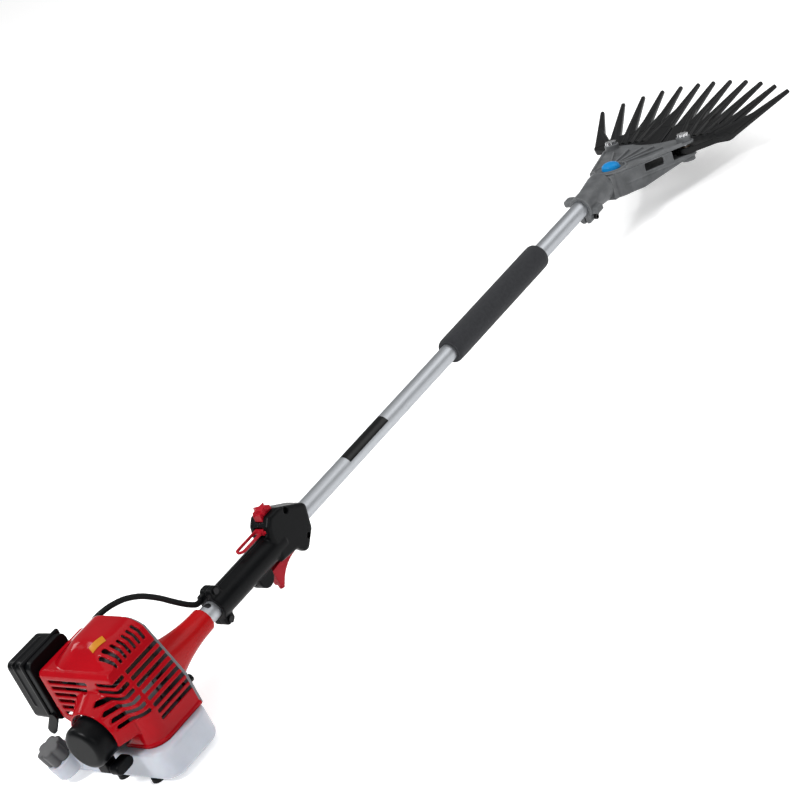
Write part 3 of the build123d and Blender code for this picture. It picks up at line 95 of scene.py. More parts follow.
def new_finish(name, colour, roughness, metallic=0.0, **sockets):
    """A finish with its even values set, and the place on the piece that its patterns follow."""
    finish = bpy.data.materials.new(name)
    finish.use_nodes = True
    surface = finish.node_tree.nodes["Principled BSDF"].inputs
    surface["Base Color"].default_value = linear(colour)
    surface["Roughness"].default_value = roughness
    surface["Metallic"].default_value = metallic
    for socket, value in sockets.items():
        surface[socket.replace("_", " ")].default_value = value
    return finish, add(finish, "TexCoord", {}).outputs["Object"]


def dress(finish, *names):
    """Give built pieces their finish."""
    for name in names:
        for slot in nodes[name].material_slots:
            slot.material = finish


line_width, line_length = 1.2 * mm, 500 * mm
tube_finish, place = new_finish("anodised drawn aluminium", "#ACAFB3", roughness=0.48, metallic=1.0)
drawn = add(tube_finish, "Mapping", {
    "Vector": place, "Scale": (1 / line_length, 1 / line_width, 1 / line_width)}).outputs["Vector"]
lines = add(tube_finish, "TexNoise", {"Vector": drawn, "Scale": 1.0, "Detail": 3.0}).outputs["Fac"]
add(tube_finish, "MapRange", {"Value": lines, "To Min": 0.42, "To Max": 0.56}, "Roughness")
add(tube_finish, "Bump", {"Height": lines, "Strength": 0.12, "Distance": 0.05 * mm}, "Normal")
dress(tube_finish, "pole_tube")

# Locating button: a blackened steel pin that holds the pole in the clutch housing. It stands almost
# flush with the tube, its edge is eased, and scale left by the blackening makes its gloss uneven.
button_x, button_lean, button_radius, button_stand, button_edge = 13, 0.33, 4, 0.9, 0.5
crease = math.radians(40)


def pick(*pieces):
    """Select these pieces alone, the first of them active."""
    bpy.ops.object.select_all(action="DESELECT")
    for piece in pieces:
        piece.select_set(True)
    bpy.context.view_layer.objects.active = pieces[0]


def settle(piece):
    """Put a piece's place, turn and size into its mesh."""
    pick(piece)
    bpy.ops.object.transform_apply(location=True, rotation=True, scale=True)


def ease_edges(width):
    """Round every edge of the active piece, by a width in millimetres."""
    bpy.ops.object.mode_set(mode="EDIT")
    bpy.ops.mesh.select_all(action="SELECT")
    bpy.ops.mesh.bevel(offset=width * mm, segments=3, affect="EDGES")
    bpy.ops.object.mode_set(mode="OBJECT")


def hold(piece, name, finish, body):
    """Name a finished piece, give it its finish, and fix it to the body that carries it."""
    piece.name = name
    piece.data.materials.clear()
    piece.data.materials.append(finish)
    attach(piece, body)


out = Vector((0, -math.sin(button_lean), math.cos(button_lean)))
bpy.ops.object.select_all(action="DESELECT")
bpy.ops.mesh.primitive_cylinder_add(
    vertices=40, radius=button_radius * mm, depth=2 * button_stand * mm,
    location=at(button_x, 0, 0) + out * pole_radius,
    rotation=out.to_track_quat("Z", "Y").to_euler())
button = bpy.context.object
settle(button)
ease_edges(button_edge)
bpy.ops.object.shade_smooth_by_angle(angle=crease)
scale_width = 1.5 * mm
black_steel, place = new_finish("blackened steel", "#111113", roughness=0.42, metallic=0.6)
scale_marks = add(black_steel, "TexNoise", {
    "Vector": place, "Scale": 1 / scale_width, "Detail": 4.0}).outputs["Fac"]
add(black_steel, "MapRange", {"Value": scale_marks, "To Min": 0.3, "To Max": 0.55}, "Roughness")
hold(button, "pole_button", black_steel, "frame")

# Band on the pole: a plain black vinyl film, a fifth of a millimetre thick, wrapped over the upper
# right of the tube ahead of the handle. Handling has scuffed it, so its gloss varies in patches.
band_start, band_length, band_stand, band_film = 337, 97, 0.25, 0.2
band_lean, band_reach = 0.44, 0.74


def mark(piece, test):
    """Open a piece for editing with the points selected that pass a test."""
    pick(piece)
    bpy.ops.object.mode_set(mode="EDIT")
    bpy.ops.mesh.select_all(action="DESELECT")
    bpy.ops.object.mode_set(mode="OBJECT")
    for vertex in piece.data.vertices:
        vertex.select = test(vertex)
    bpy.ops.object.mode_set(mode="EDIT")


def draw_out(run, steps):
    """Extrude the open piece's whole outline along a run, in even steps."""
    bpy.ops.mesh.select_all(action="SELECT")
    for turn in range(steps):
        bpy.ops.mesh.extrude_region_move(TRANSFORM_OT_translate={"value": tuple(run / steps)})


def turn_outwards():
    """Point the open piece's faces outwards and close it."""
    bpy.ops.mesh.select_all(action="SELECT")
    bpy.ops.mesh.normals_make_consistent(inside=False)
    bpy.ops.object.mode_set(mode="OBJECT")


def off_band(vertex):
    """Whether a point of the tube's outline lies beside the band."""
    around = math.atan2(-vertex.co.y, vertex.co.z - axis_z)
    return abs(around - band_lean) > band_reach


bpy.ops.object.select_all(action="DESELECT")
bpy.ops.mesh.primitive_circle_add(vertices=96, radius=pole_radius + band_stand * mm,
                                  location=at(band_start, 0, 0), rotation=(0, math.pi / 2, 0))
band = bpy.context.object
settle(band)
mark(band, off_band)
bpy.ops.mesh.delete(type="VERT")
draw_out(Vector((band_length * mm, 0, 0)), steps=24)
turn_outwards()
thick = band.modifiers.new("film", "SOLIDIFY")
thick.thickness = band_film * mm
thick.offset = -1
bpy.ops.object.modifier_apply(modifier="film")
bpy.ops.object.shade_smooth_by_angle(angle=crease)
scuff_width = 5 * mm
film_black, place = new_finish("black vinyl film", "#08090A", roughness=0.35,
                               Specular_IOR_Level=0.2)
scuff = add(film_black, "TexNoise", {
    "Vector": place, "Scale": 1 / scuff_width, "Detail": 4.0}).outputs["Fac"]
add(film_black, "MapRange", {"Value": scuff, "To Min": 0.22, "To Max": 0.42}, "Roughness")
hold(band, "pole_band", film_black, "frame")

# Clutch housing: an aluminium casting, powder coated red, bolted to the engine by four screws.
# The coat has the faint orange peel of baked powder and is a little worn and uneven.


def copy_of(name):
    """A copy of a built piece, its doubled points merged and its own shading dropped."""
    piece = bpy.data.objects.new(name + "_skin", nodes[name].data.copy())
    bpy.context.collection.objects.link(piece)
    pick(piece)
    bpy.ops.object.mode_set(mode="EDIT")
    bpy.ops.mesh.select_all(action="SELECT")
    bpy.ops.mesh.remove_doubles(threshold=0.001 * mm)
    bpy.ops.mesh.customdata_custom_splitnormals_clear()
    bpy.ops.object.mode_set(mode="OBJECT")
    return piece


def skin(name, body, finish, voxel, rounds, forms=(), cuts=(), soft=None):
    """A moulded copy of a built piece: forms join it, cuts come out of it, every edge is eased.

    The voxel is in millimetres. Soft is a share for each spot and the rounds of one more sweep.
    """
    piece = copy_of(name)
    if forms:
        pick(piece, *forms)
        bpy.ops.object.join()
    for cut in cuts:
        taken = piece.modifiers.new("cut", "BOOLEAN")
        taken.operation = "DIFFERENCE"
        taken.object = cut
        bpy.ops.object.modifier_apply(modifier="cut")
        bpy.data.objects.remove(cut)
    fine = piece.modifiers.new("mould", "REMESH")
    fine.mode = "VOXEL"
    fine.voxel_size = voxel * mm
    bpy.ops.object.modifier_apply(modifier="mould")
    eased = piece.modifiers.new("ease", "SMOOTH")
    eased.factor = 0.5
    eased.iterations = rounds
    bpy.ops.object.modifier_apply(modifier="ease")
    if soft:
        share, turns = soft
        swept = piece.vertex_groups.new(name="swept")
        for vertex in piece.data.vertices:
            swept.add([vertex.index], share((vertex.co - at(0, 0, 0)) / mm), "REPLACE")
        sweep = piece.modifiers.new("sweep", "SMOOTH")
        sweep.factor = 0.5
        sweep.iterations = turns
        sweep.vertex_group = "swept"
        bpy.ops.object.modifier_apply(modifier="sweep")
    bpy.ops.object.shade_smooth()
    hold(piece, name + "_skin", finish, body)
    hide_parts(name)
    return piece


peel_width, cloud_width = 2.2 * mm, 28 * mm
coat_finish, place = new_finish("red powder coat", "#9C0A0E", roughness=0.26,
                                Specular_IOR_Level=0.1)
peel = add(coat_finish, "TexNoise", {
    "Vector": place, "Scale": 1 / peel_width, "Detail": 2.0}).outputs["Fac"]
add(coat_finish, "Bump", {"Height": peel, "Strength": 0.2, "Distance": 0.15 * mm}, "Normal")
clouds = add(coat_finish, "TexNoise", {
    "Vector": place, "Scale": 1 / cloud_width, "Detail": 3.0}).outputs["Fac"]
add(coat_finish, "Mix", {"Factor": clouds, "A": "#93060B", "B": "#A80A0D"}, "Base Color",
    data_type="RGBA")
skin("clutch_housing", "frame", coat_finish, voxel=1.1, rounds=6)

# Screws: socket heads of the same blackened steel as the button, sunk in the bosses of the clutch
# housing, the handle and the neck.
dress(black_steel, "bell_bolts", "handle_screws", "clamp_screw")

# Shaft, drum, clutch and gears: turned and ground steel, lightly oiled, running in bronze bushes.
# Fine turning rings spread the light along the steel, and open pores dull the sintered bronze.
ring_width, ring_length = 0.8 * mm, 25 * mm
steel, place = new_finish("ground steel", "#8C8E91", roughness=0.3, metallic=1.0)
turning = add(steel, "Mapping", {
    "Vector": place, "Scale": (1 / ring_width, 1 / ring_length, 1 / ring_length)}).outputs["Vector"]
rings = add(steel, "TexNoise", {"Vector": turning, "Scale": 1.0, "Detail": 2.0}).outputs["Fac"]
add(steel, "MapRange", {"Value": rings, "To Min": 0.2, "To Max": 0.42}, "Roughness")
dress(steel, "drive_shaft", "clutch_drum", "drum_bearing", "clutch_carrier", "clutch_shoes",
      "crankshaft", "pinion", "pinion_bearing", "crown_gear", "rod_left", "rod_right", "spark_plug")
pore_width = 0.6 * mm
bronze, place = new_finish("sintered bronze", "#8F6B3A", roughness=0.5, metallic=1.0)
pores = add(bronze, "TexNoise", {
    "Vector": place, "Scale": 1 / pore_width, "Detail": 3.0}).outputs["Fac"]
add(bronze, "Bump", {"Height": pores, "Strength": 0.3, "Distance": 0.1 * mm}, "Normal")
dress(bronze, "shaft_bushes", "gear_bearing", "comb_bush_left", "comb_bush_right")

# Crankcase, cylinder, rocker cover, fan and carburettor: die-cast aluminium, left bare and screwed
# together under the cover. The cast skin is dull and a little grained, so it spreads the light.
grain_width = 1.4 * mm
casting, place = new_finish("die-cast aluminium", "#7C7E81", roughness=0.5, metallic=0.9)
grain = add(casting, "TexNoise", {
    "Vector": place, "Scale": 1 / grain_width, "Detail": 5.0}).outputs["Fac"]
add(casting, "Bump", {"Height": grain, "Strength": 0.35, "Distance": 0.2 * mm}, "Normal")
add(casting, "MapRange", {"Value": grain, "To Min": 0.38, "To Max": 0.62}, "Roughness")
dress(casting, "crankcase", "cylinder", "rocker_cover", "flywheel_fan", "carburettor")

# Muffler: a box of pressed steel, bolted to the cylinder. The heat of the exhaust has blackened it
# and left a brown bloom in clouds.
bloom_width = 18 * mm
heated, place = new_finish("heat-blackened steel", "#2A2725", roughness=0.6, metallic=0.6)
bloom = add(heated, "TexNoise", {
    "Vector": place, "Scale": 1 / bloom_width, "Detail": 4.0}).outputs["Fac"]
add(heated, "Mix", {"Factor": bloom, "A": "#1D1C1C", "B": "#4A3A30"}, "Base Color",
    data_type="RGBA")
dress(heated, "muffler")

# Air cleaner: a black nylon box on the left with a clipped cover, rimmed and ribbed on its outside.
# The nylon is moulded in tools with a fine spark grain, duller where it is handled.
rim_low, rim_high, rim_edge = (-209, 101, -6), (-133, 107, 90), 2
rib_low, rib_high, rib_edge = (-207.8, 121, 20), (-150, 124, 88.8), 1


def slab(low, high, edge, base=Matrix.Translation(at(0, 0, 0))):
    """A block between two corners in millimetres from a base frame, its edges rounded."""
    low, high = Vector(low) * mm, Vector(high) * mm
    bpy.ops.object.select_all(action="DESELECT")
    bpy.ops.mesh.primitive_cube_add(size=1)
    block = bpy.context.object
    block.matrix_world = base @ Matrix.Translation((low + high) / 2) \
        @ Matrix.Diagonal((*(high - low), 1))
    settle(block)
    ease_edges(edge)
    return block


spark_width, handled_width = 0.9 * mm, 35 * mm
black_nylon, place = new_finish("moulded black nylon", "#07080A", roughness=0.36,
                                Specular_IOR_Level=0.08)
spark = add(black_nylon, "TexNoise", {
    "Vector": place, "Scale": 1 / spark_width, "Detail": 2.0}).outputs["Fac"]
add(black_nylon, "Bump", {"Height": spark, "Strength": 0.2, "Distance": 0.12 * mm}, "Normal")
handled = add(black_nylon, "TexNoise", {
    "Vector": place, "Scale": 1 / handled_width, "Detail": 4.0}).outputs["Fac"]
add(black_nylon, "MapRange", {"Value": handled, "To Min": 0.26, "To Max": 0.44}, "Roughness")
add(black_nylon, "Mix", {"Factor": handled, "A": "#050607", "B": "#0B0C0E"}, "Base Color",
    data_type="RGBA")
dress(black_nylon, "choke_lever", "oil_cap", "intake_insulator")
rim = slab(rim_low, rim_high, rim_edge)
rib = slab(rib_low, rib_high, rib_edge)
skin("air_cleaner_cover", "frame", black_nylon, voxel=1.0, rounds=5,
     forms=[rim, rib])
skin("air_cleaner_base", "frame", black_nylon, voxel=1.0, rounds=5)

# Filter pad: a block of open-cell foam, dipped in oil and laid in the air cleaner between base and
# cover. Its cells give a coarse, dark and dull face.
cell_width = 1.5 * mm
pad_foam, place = new_finish("oiled filter foam", "#3D3A30", roughness=0.9)
cells = add(pad_foam, "TexVoronoi", {"Vector": place, "Scale": 1 / cell_width}).outputs["Distance"]
add(pad_foam, "Bump", {"Height": cells, "Strength": 0.8, "Distance": 0.6 * mm}, "Normal")
dress(pad_foam, "air_filter")

# Plug cap, primer bulb, tank feet, fuel hose and cable sheath: black moulded rubber, pushed on or
# held at its ends. The skin is dull and slightly dusty, in patches.
dust_width = 6 * mm
rubber, place = new_finish("black rubber", "#08090A", roughness=0.5, Specular_IOR_Level=0.14)
dust = add(rubber, "TexNoise", {
    "Vector": place, "Scale": 1 / dust_width, "Detail": 5.0}).outputs["Fac"]
add(rubber, "MapRange", {"Value": dust, "To Min": 0.38, "To Max": 0.65}, "Roughness")
add(rubber, "Mix", {"Factor": dust, "A": "#060707", "B": "#0D0E0F"}, "Base Color",
    data_type="RGBA")
dress(rubber, "plug_cap", "primer_bulb", "tank_feet", "fuel_hose", "throttle_cable")

# Front plate: pressed sheet, painted grey, that closes the engine cover in front. Its top edge is
# drawn in behind the cover's arch, so the grey shows as a thin line on the right slope alone.
arch_foot, draw_centre, draw_share = 78, at(0, 8, 40), (1, 0.97, 0.944)
peel_width, cloud_width = 2 * mm, 25 * mm
grey_paint, place = new_finish("grey painted sheet", "#5E5F63", roughness=0.45)
peel = add(grey_paint, "TexNoise", {
    "Vector": place, "Scale": 1 / peel_width, "Detail": 2.0}).outputs["Fac"]
add(grey_paint, "Bump", {"Height": peel, "Strength": 0.15, "Distance": 0.1 * mm}, "Normal")
clouds = add(grey_paint, "TexNoise", {
    "Vector": place, "Scale": 1 / cloud_width, "Detail": 3.0}).outputs["Fac"]
add(grey_paint, "Mix", {"Factor": clouds, "A": "#54555A", "B": "#6A6B6F"}, "Base Color",
    data_type="RGBA")
plate = copy_of("front_plate")
mark(plate, lambda vertex: vertex.co.z > at(0, 0, arch_foot).z)
bpy.ops.transform.resize(value=draw_share, center_override=draw_centre)
bpy.ops.object.mode_set(mode="OBJECT")
bpy.ops.object.shade_smooth_by_angle(angle=crease)
hold(plate, "front_plate_skin", grey_paint, "frame")
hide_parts("front_plate")

# Engine cover: one gloss red moulding with louvres for the cooling air, screwed over the engine.
# A bead stiffens its lower edge, and a plain yellow film patch sits beside the slots of the dome.
# The ABS takes the tool's polish, so lights show sharply in it, bent by the faint ripple of flow.
bead_top, bead_stand = -33, 1.8
dome_foot, dome_front, dome_fade = 80, -118, 8
slot_side, slot_fade, sweep_rounds = -30, 12, 120
patch_spot, patch_turn, patch_size = at(-167.7, -11, 130), math.radians(-27.7), (21.4, 12.4)
patch_lift, patch_film = 0.8, 0.3
flow_width, ripple_width = 45 * mm, 9 * mm
gloss_red, place = new_finish("gloss red ABS", "#960813", roughness=0.16, Specular_IOR_Level=0.11)
flow = add(gloss_red, "TexNoise", {
    "Vector": place, "Scale": 1 / flow_width, "Detail": 2.0}).outputs["Fac"]
add(gloss_red, "Mix", {"Factor": flow, "A": "#8B0510", "B": "#A20915"}, "Base Color",
    data_type="RGBA")
ripple = add(gloss_red, "TexNoise", {
    "Vector": place, "Scale": 1 / ripple_width, "Detail": 1.0}).outputs["Fac"]
add(gloss_red, "Bump", {"Height": ripple, "Strength": 0.05, "Distance": 0.3 * mm}, "Normal")
add(gloss_red, "MapRange", {"Value": flow, "To Min": 0.08, "To Max": 0.15}, "Roughness")


def crown(spot):
    """Share of the long sweep at a spot of the cover: all of it on the dome, none at the slots."""
    shares = ((spot.z - dome_foot) / dome_fade, (dome_front - spot.x) / dome_fade,
              (spot.y - slot_side) / slot_fade)
    return math.prod(min(max(share, 0), 1) for share in shares)


bead = copy_of("engine_cover")
bpy.ops.object.mode_set(mode="EDIT")
bpy.ops.mesh.select_all(action="SELECT")
bpy.ops.mesh.bisect(plane_co=at(0, 0, bead_top), plane_no=(0, 0, 1), use_fill=True,
                    clear_outer=True)
bpy.ops.mesh.select_all(action="SELECT")
low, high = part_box("engine_cover")
spread = [1 + 2 * bead_stand * mm / width for width in high - low]
bpy.ops.transform.resize(value=(spread[0], spread[1], 1), center_override=(low + high) / 2)
bpy.ops.object.mode_set(mode="OBJECT")
cover = skin("engine_cover", "frame", gloss_red, voxel=1.0, rounds=4,
             forms=[bead], soft=(crown, sweep_rounds))
bpy.ops.object.select_all(action="DESELECT")
bpy.ops.mesh.primitive_grid_add(x_subdivisions=30, y_subdivisions=18, size=1)
patch = bpy.context.object
patch.matrix_world = Matrix.Translation(patch_spot) @ Matrix.Rotation(patch_turn, 4, "Z") \
    @ Matrix.Diagonal((patch_size[0] * mm, patch_size[1] * mm, 1, 1))
settle(patch)
wrap = patch.modifiers.new("laid on", "SHRINKWRAP")
wrap.wrap_method = "PROJECT"
wrap.use_project_z = True
wrap.use_negative_direction = True
wrap.use_positive_direction = False
wrap.target = cover
wrap.wrap_mode = "ABOVE_SURFACE"
wrap.offset = patch_lift * mm
bpy.ops.object.modifier_apply(modifier="laid on")
thick = patch.modifiers.new("film", "SOLIDIFY")
thick.thickness = patch_film * mm
bpy.ops.object.modifier_apply(modifier="film")
bpy.ops.object.shade_smooth_by_angle(angle=crease)
scuff_width = 4 * mm
yellow_film, place = new_finish("yellow vinyl film", "#AD6E06", roughness=0.35,
                                Specular_IOR_Level=0.2)
scuff = add(yellow_film, "TexNoise", {
    "Vector": place, "Scale": 1 / scuff_width, "Detail": 4.0}).outputs["Fac"]
add(yellow_film, "Mix", {"Factor": scuff, "A": "#A26505", "B": "#B87708"}, "Base Color",
    data_type="RGBA")
hold(patch, "dome_patch", yellow_film, "frame")

# Fuel tank: blow-moulded natural polyethylene, milky, with a waxy skin and uneven wall. It hangs
# under the engine on the front plate, and its lobed cap screws on the neck at the left rear.
# The cap is moulded grey polypropylene, with a spark grain and paler where hands have worn it.
wall_width = 30 * mm
milky, place = new_finish("natural polyethylene", "#A9AEB7", roughness=0.36, Subsurface_Weight=0.2,
                          Subsurface_Scale=0.012)
wall = add(milky, "TexNoise", {
    "Vector": place, "Scale": 1 / wall_width, "Detail": 3.0}).outputs["Fac"]
add(milky, "Mix", {"Factor": wall, "A": "#9DA2AD", "B": "#B4B8C0"}, "Base Color",
    data_type="RGBA")
add(milky, "Bump", {"Height": wall, "Strength": 0.12, "Distance": 0.8 * mm}, "Normal")
skin("fuel_tank", "frame", milky, voxel=1.4, rounds=5)
spark_width, worn_width = 0.8 * mm, 12 * mm
grey_cap, place = new_finish("grey moulded polypropylene", "#38383A", roughness=0.5)
spark = add(grey_cap, "TexNoise", {
    "Vector": place, "Scale": 1 / spark_width, "Detail": 2.0}).outputs["Fac"]
add(grey_cap, "Bump", {"Height": spark, "Strength": 0.25, "Distance": 0.15 * mm}, "Normal")
worn = add(grey_cap, "TexNoise", {
    "Vector": place, "Scale": 1 / worn_width, "Detail": 4.0}).outputs["Fac"]
add(grey_cap, "Mix", {"Factor": worn, "A": "#323234", "B": "#424244"}, "Base Color",
    data_type="RGBA")
skin("fuel_cap", "fuel_cap", grey_cap, voxel=0.7, rounds=5)

# Recoil starter: a black nylon dome on the back of the engine, its rope ending in a bar grip. The
# rope is braided polyester, wound up inside at rest; here it is a straight piece fixed in place.
rope_x, rope_z, rope_near, rope_far, rope_radius = -236, -38, -3, -18, 1.6
soft_crease = math.radians(50)
skin("starter_housing", "frame", black_nylon, voxel=0.9, rounds=6)
skin("starter_grip", "starter_grip", black_nylon, voxel=0.6, rounds=6)
rope_start, rope_end = at(rope_x, rope_near, rope_z), at(rope_x, rope_far, rope_z)
bpy.ops.object.select_all(action="DESELECT")
bpy.ops.mesh.primitive_circle_add(vertices=16, radius=rope_radius * mm, location=rope_start,
                                  rotation=(math.pi / 2, 0, 0), fill_type="NGON")
rope = bpy.context.object
settle(rope)
bpy.ops.object.mode_set(mode="EDIT")
draw_out(rope_end - rope_start, steps=40)
turn_outwards()
bpy.ops.object.shade_smooth_by_angle(angle=soft_crease)
braid_width = 6 * mm
rope_cord, place = new_finish("braided polyester cord", "#B8B6AE", roughness=0.8)
braid = add(rope_cord, "TexWave", {
    "Vector": place, "Scale": 1 / braid_width, "Distortion": 1.5}).outputs["Fac"]
add(rope_cord, "Bump", {"Height": braid, "Strength": 0.5, "Distance": 0.3 * mm}, "Normal")
add(rope_cord, "Mix", {"Factor": braid, "A": "#9C9A92", "B": "#C6C4BC"}, "Base Color",
    data_type="RGBA")
rope.name = "starter_rope"
rope.data.materials.append(rope_cord)
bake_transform(rope)

# Throttle handle: two halves of the air cleaner's black nylon, each with half of the grip tube, the
# clamp ears and the trigger housing, screwed together round the pole.
skin("handle_left", "frame", black_nylon, voxel=0.95, rounds=6)
skin("handle_right", "frame", black_nylon, voxel=0.95, rounds=6)

# Trigger, lockout and stop switch: red nylon mouldings on pins and a slide in the handle, bright so
# that the hand finds what it works. Their spark grain is worn paler, and the switch has a star.
tip_x, tip_top, tip_end, tip_top_radius, tip_end_radius = 139, -45, -57.5, 5, 4
star_points, star_reach, star_waist, star_draft = 5, 14.5, 6.5, 0.9
star_x, star_foot, star_top = 168, 47.5, 54
spark_width, worn_width = 0.9 * mm, 14 * mm
red_nylon, place = new_finish("moulded red nylon", "#980C1E", roughness=0.36,
                              Specular_IOR_Level=0.12)
spark = add(red_nylon, "TexNoise", {
    "Vector": place, "Scale": 1 / spark_width, "Detail": 2.0}).outputs["Fac"]
add(red_nylon, "Bump", {"Height": spark, "Strength": 0.2, "Distance": 0.12 * mm}, "Normal")
worn = add(red_nylon, "TexNoise", {
    "Vector": place, "Scale": 1 / worn_width, "Detail": 3.0}).outputs["Fac"]
add(red_nylon, "Mix", {"Factor": worn, "A": "#8C0A1A", "B": "#A61022"}, "Base Color",
    data_type="RGBA")


def spar(start, end, start_radius, end_radius):
    """A round tapered bar between two points, its radii in millimetres."""
    along = end - start
    bpy.ops.object.select_all(action="DESELECT")
    bpy.ops.mesh.primitive_cone_add(
        vertices=20, radius1=start_radius * mm, radius2=end_radius * mm, depth=along.length,
        location=(start + end) / 2, rotation=along.to_track_quat("Z", "Y").to_euler())
    bar = bpy.context.object
    settle(bar)
    return bar


tip = spar(at(tip_x, 0, tip_top), at(tip_x, 0, tip_end), tip_top_radius, tip_end_radius)
skin("trigger", "trigger", red_nylon, voxel=0.5, rounds=5, forms=[tip])
skin("lockout_lever", "lockout_lever", red_nylon, voxel=0.4, rounds=4)
bpy.ops.object.select_all(action="DESELECT")
bpy.ops.mesh.primitive_circle_add(vertices=2 * star_points, radius=star_reach * mm,
                                  fill_type="NGON", location=at(star_x, 0, star_foot))
star = bpy.context.object
settle(star)
mark(star, lambda vertex: vertex.index % 2 == 1)
bpy.ops.transform.resize(value=(star_waist / star_reach, star_waist / star_reach, 1),
                         center_override=at(star_x, 0, star_foot))
draw_out(Vector((0, 0, (star_top - star_foot) * mm)), steps=1)
bpy.ops.transform.resize(value=(star_draft, star_draft, 1), center_override=at(star_x, 0, star_top))
turn_outwards()
skin("stop_switch", "stop_switch", red_nylon, voxel=0.4, rounds=2, forms=[star])

# Foam grip: a sleeve of closed-cell rubber foam pushed over the pole, soft and slightly drawn in
# at its ends. Its fine cell skin, drawn coarse enough to show, makes it dull with a faint sheen.
bore_share = 0.66
end_rings = [(0.0, 0.90), (1.5, 0.955), (4, 0.985), (9, 0.997)]
ring_step, ring_count = 16, 15
low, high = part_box("foam_grip")
grip_length, grip_radius = high.x - low.x, (high.z - low.z) / 2
grip_centre = (low + high) / 2
bpy.ops.object.select_all(action="DESELECT")
bpy.ops.mesh.primitive_circle_add(vertices=72, radius=grip_radius * bore_share,
                                  location=(low.x, grip_centre.y, grip_centre.z),
                                  rotation=(0, math.pi / 2, 0))
foam_grip = bpy.context.object
settle(foam_grip)
bpy.ops.object.mode_set(mode="EDIT")
bpy.ops.mesh.select_all(action="SELECT")
stations = [(along * mm, share) for along, share in end_rings]
stations += [(ring_step * mm * (turn + 1), 1.0) for turn in range(ring_count)]
stations += [(grip_length - along * mm, share) for along, share in reversed(end_rings)]
before_along, before_share = 0.0, bore_share
for along, share in stations + [(grip_length, bore_share)]:
    bpy.ops.mesh.extrude_region_move(
        TRANSFORM_OT_translate={"value": (along - before_along, 0, 0)})
    bpy.ops.transform.resize(value=(1, share / before_share, share / before_share))
    before_along, before_share = along, share
turn_outwards()
bpy.ops.object.shade_smooth_by_angle(angle=soft_crease)
cell_width, pit_width = 1.3 * mm, 5 * mm
foam_skin, place = new_finish("closed-cell rubber foam", "#26272A", roughness=0.85,
                              Specular_IOR_Level=0.2, Sheen_Weight=0.08)
cells = add(foam_skin, "TexVoronoi", {"Vector": place, "Scale": 1 / cell_width}).outputs["Distance"]
pits = add(foam_skin, "TexNoise", {
    "Vector": place, "Scale": 1 / pit_width, "Detail": 4.0}).outputs["Fac"]
relief = add(foam_skin, "Bump", {
    "Height": cells, "Strength": 0.5, "Distance": 0.4 * mm}).outputs["Normal"]
add(foam_skin, "Bump", {"Height": pits, "Strength": 0.3, "Distance": 0.6 * mm, "Normal": relief},
    "Normal")
add(foam_skin, "Mix", {"Factor": pits, "A": "#212225", "B": "#303134"}, "Base Color",
    data_type="RGBA")
hold(foam_grip, "foam_sleeve", foam_skin, "frame")
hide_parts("foam_grip")

# Gear head: neck, housing and cover are aluminium castings, shot blasted and painted mid grey, and
# the neck clamps on the pole. The paint is worn in clouds and pale on its edges, and painted shade
# darkens its folds.
# Ribs stiffen the cover's sides, and a blue polyethylene cap sits in a collar over the gears.
head_x, head_pitch = 1100, math.radians(11.75)
head_frame = Matrix.Translation(at(head_x, 0, 0)) @ Matrix.Rotation(head_pitch, 4, "Y")
lug_corners, lug_edge = [((1002, 15, 2), (1020, 31, 13)), ((1002, -29, -13), (1020, -15, -2))], 3
window_low, window_high, window_edge = (26, -120, -7), (58, 120, 5), 1.5
cover_top, side_rib_start, side_rib_end, side_rib_radius = 10.8, (-1.4, 32.2), (95.2, 76), 2.2
collar_radius, collar_thickness = 26, 2
crest_radius, crest_lift, crest_flatness = 14.5, 1.5, 0.55
blast_width, wear_width = 1.6 * mm, 22 * mm
head_paint, place = new_finish("grey painted casting", "#626466", roughness=0.42,
                               Specular_IOR_Level=0.25)
blast = add(head_paint, "TexNoise", {
    "Vector": place, "Scale": 1 / blast_width, "Detail": 4.0}).outputs["Fac"]
add(head_paint, "Bump", {"Height": blast, "Strength": 0.35, "Distance": 0.2 * mm}, "Normal")
wear = add(head_paint, "TexNoise", {
    "Vector": place, "Scale": 1 / wear_width, "Detail": 5.0}).outputs["Fac"]
# Pointiness marks edges and folds: the pale edges are worn paint, the dark folds are painted shade.
edges = add(head_paint, "NewGeometry", {}).outputs["Pointiness"]
edge_wear_and_fold_shade = add(head_paint, "MapRange", {"Value": edges, "From Min": 0.42, "From Max": 0.58,
                                      "To Min": -0.55, "To Max": 0.55}).outputs["Result"]
# This factor carries the cloudy wear, the pale worn edges and the painted shade in the folds.
worn = add(head_paint, "Math", {0: wear, 1: edge_wear_and_fold_shade}, operation="ADD",
           use_clamp=True).outputs["Value"]
add(head_paint, "Mix", {"Factor": worn, "A": "#2A2C2E", "B": "#707274"}, "Base Color",
    data_type="RGBA")


def on(base, x, y, z):
    """A point from its place on a base frame in millimetres."""
    return base @ (Vector((x, y, z)) * mm)


lugs = [slab(lug_low, lug_high, lug_edge) for lug_low, lug_high in lug_corners]
skin("head_neck", "frame", head_paint, voxel=0.9, rounds=6, forms=lugs)
window = slab(window_low, window_high, window_edge, head_frame)
skin("head_housing", "frame", head_paint, voxel=1.05, rounds=6, cuts=[window])
side_ribs = [spar(on(head_frame, side_rib_start[0], hand * side_rib_start[1], cover_top),
                  on(head_frame, side_rib_end[0], hand * side_rib_end[1], cover_top),
                  side_rib_radius, side_rib_radius) for hand in (1, -1)]
bpy.ops.object.select_all(action="DESELECT")
bpy.ops.mesh.primitive_torus_add(major_segments=64, minor_segments=12,
                                 major_radius=collar_radius * mm,
                                 minor_radius=collar_thickness * mm)
collar = bpy.context.object
collar.matrix_world = head_frame @ Matrix.Translation((0, 0, cover_top * mm))
settle(collar)
skin("head_cover", "frame", head_paint, voxel=0.75, rounds=3,
     forms=[*side_ribs, collar])
grain_width = 1.2 * mm
blue_cap, place = new_finish("moulded blue polyethylene", "#067DBE", roughness=0.3,
                             Specular_IOR_Level=0.2)
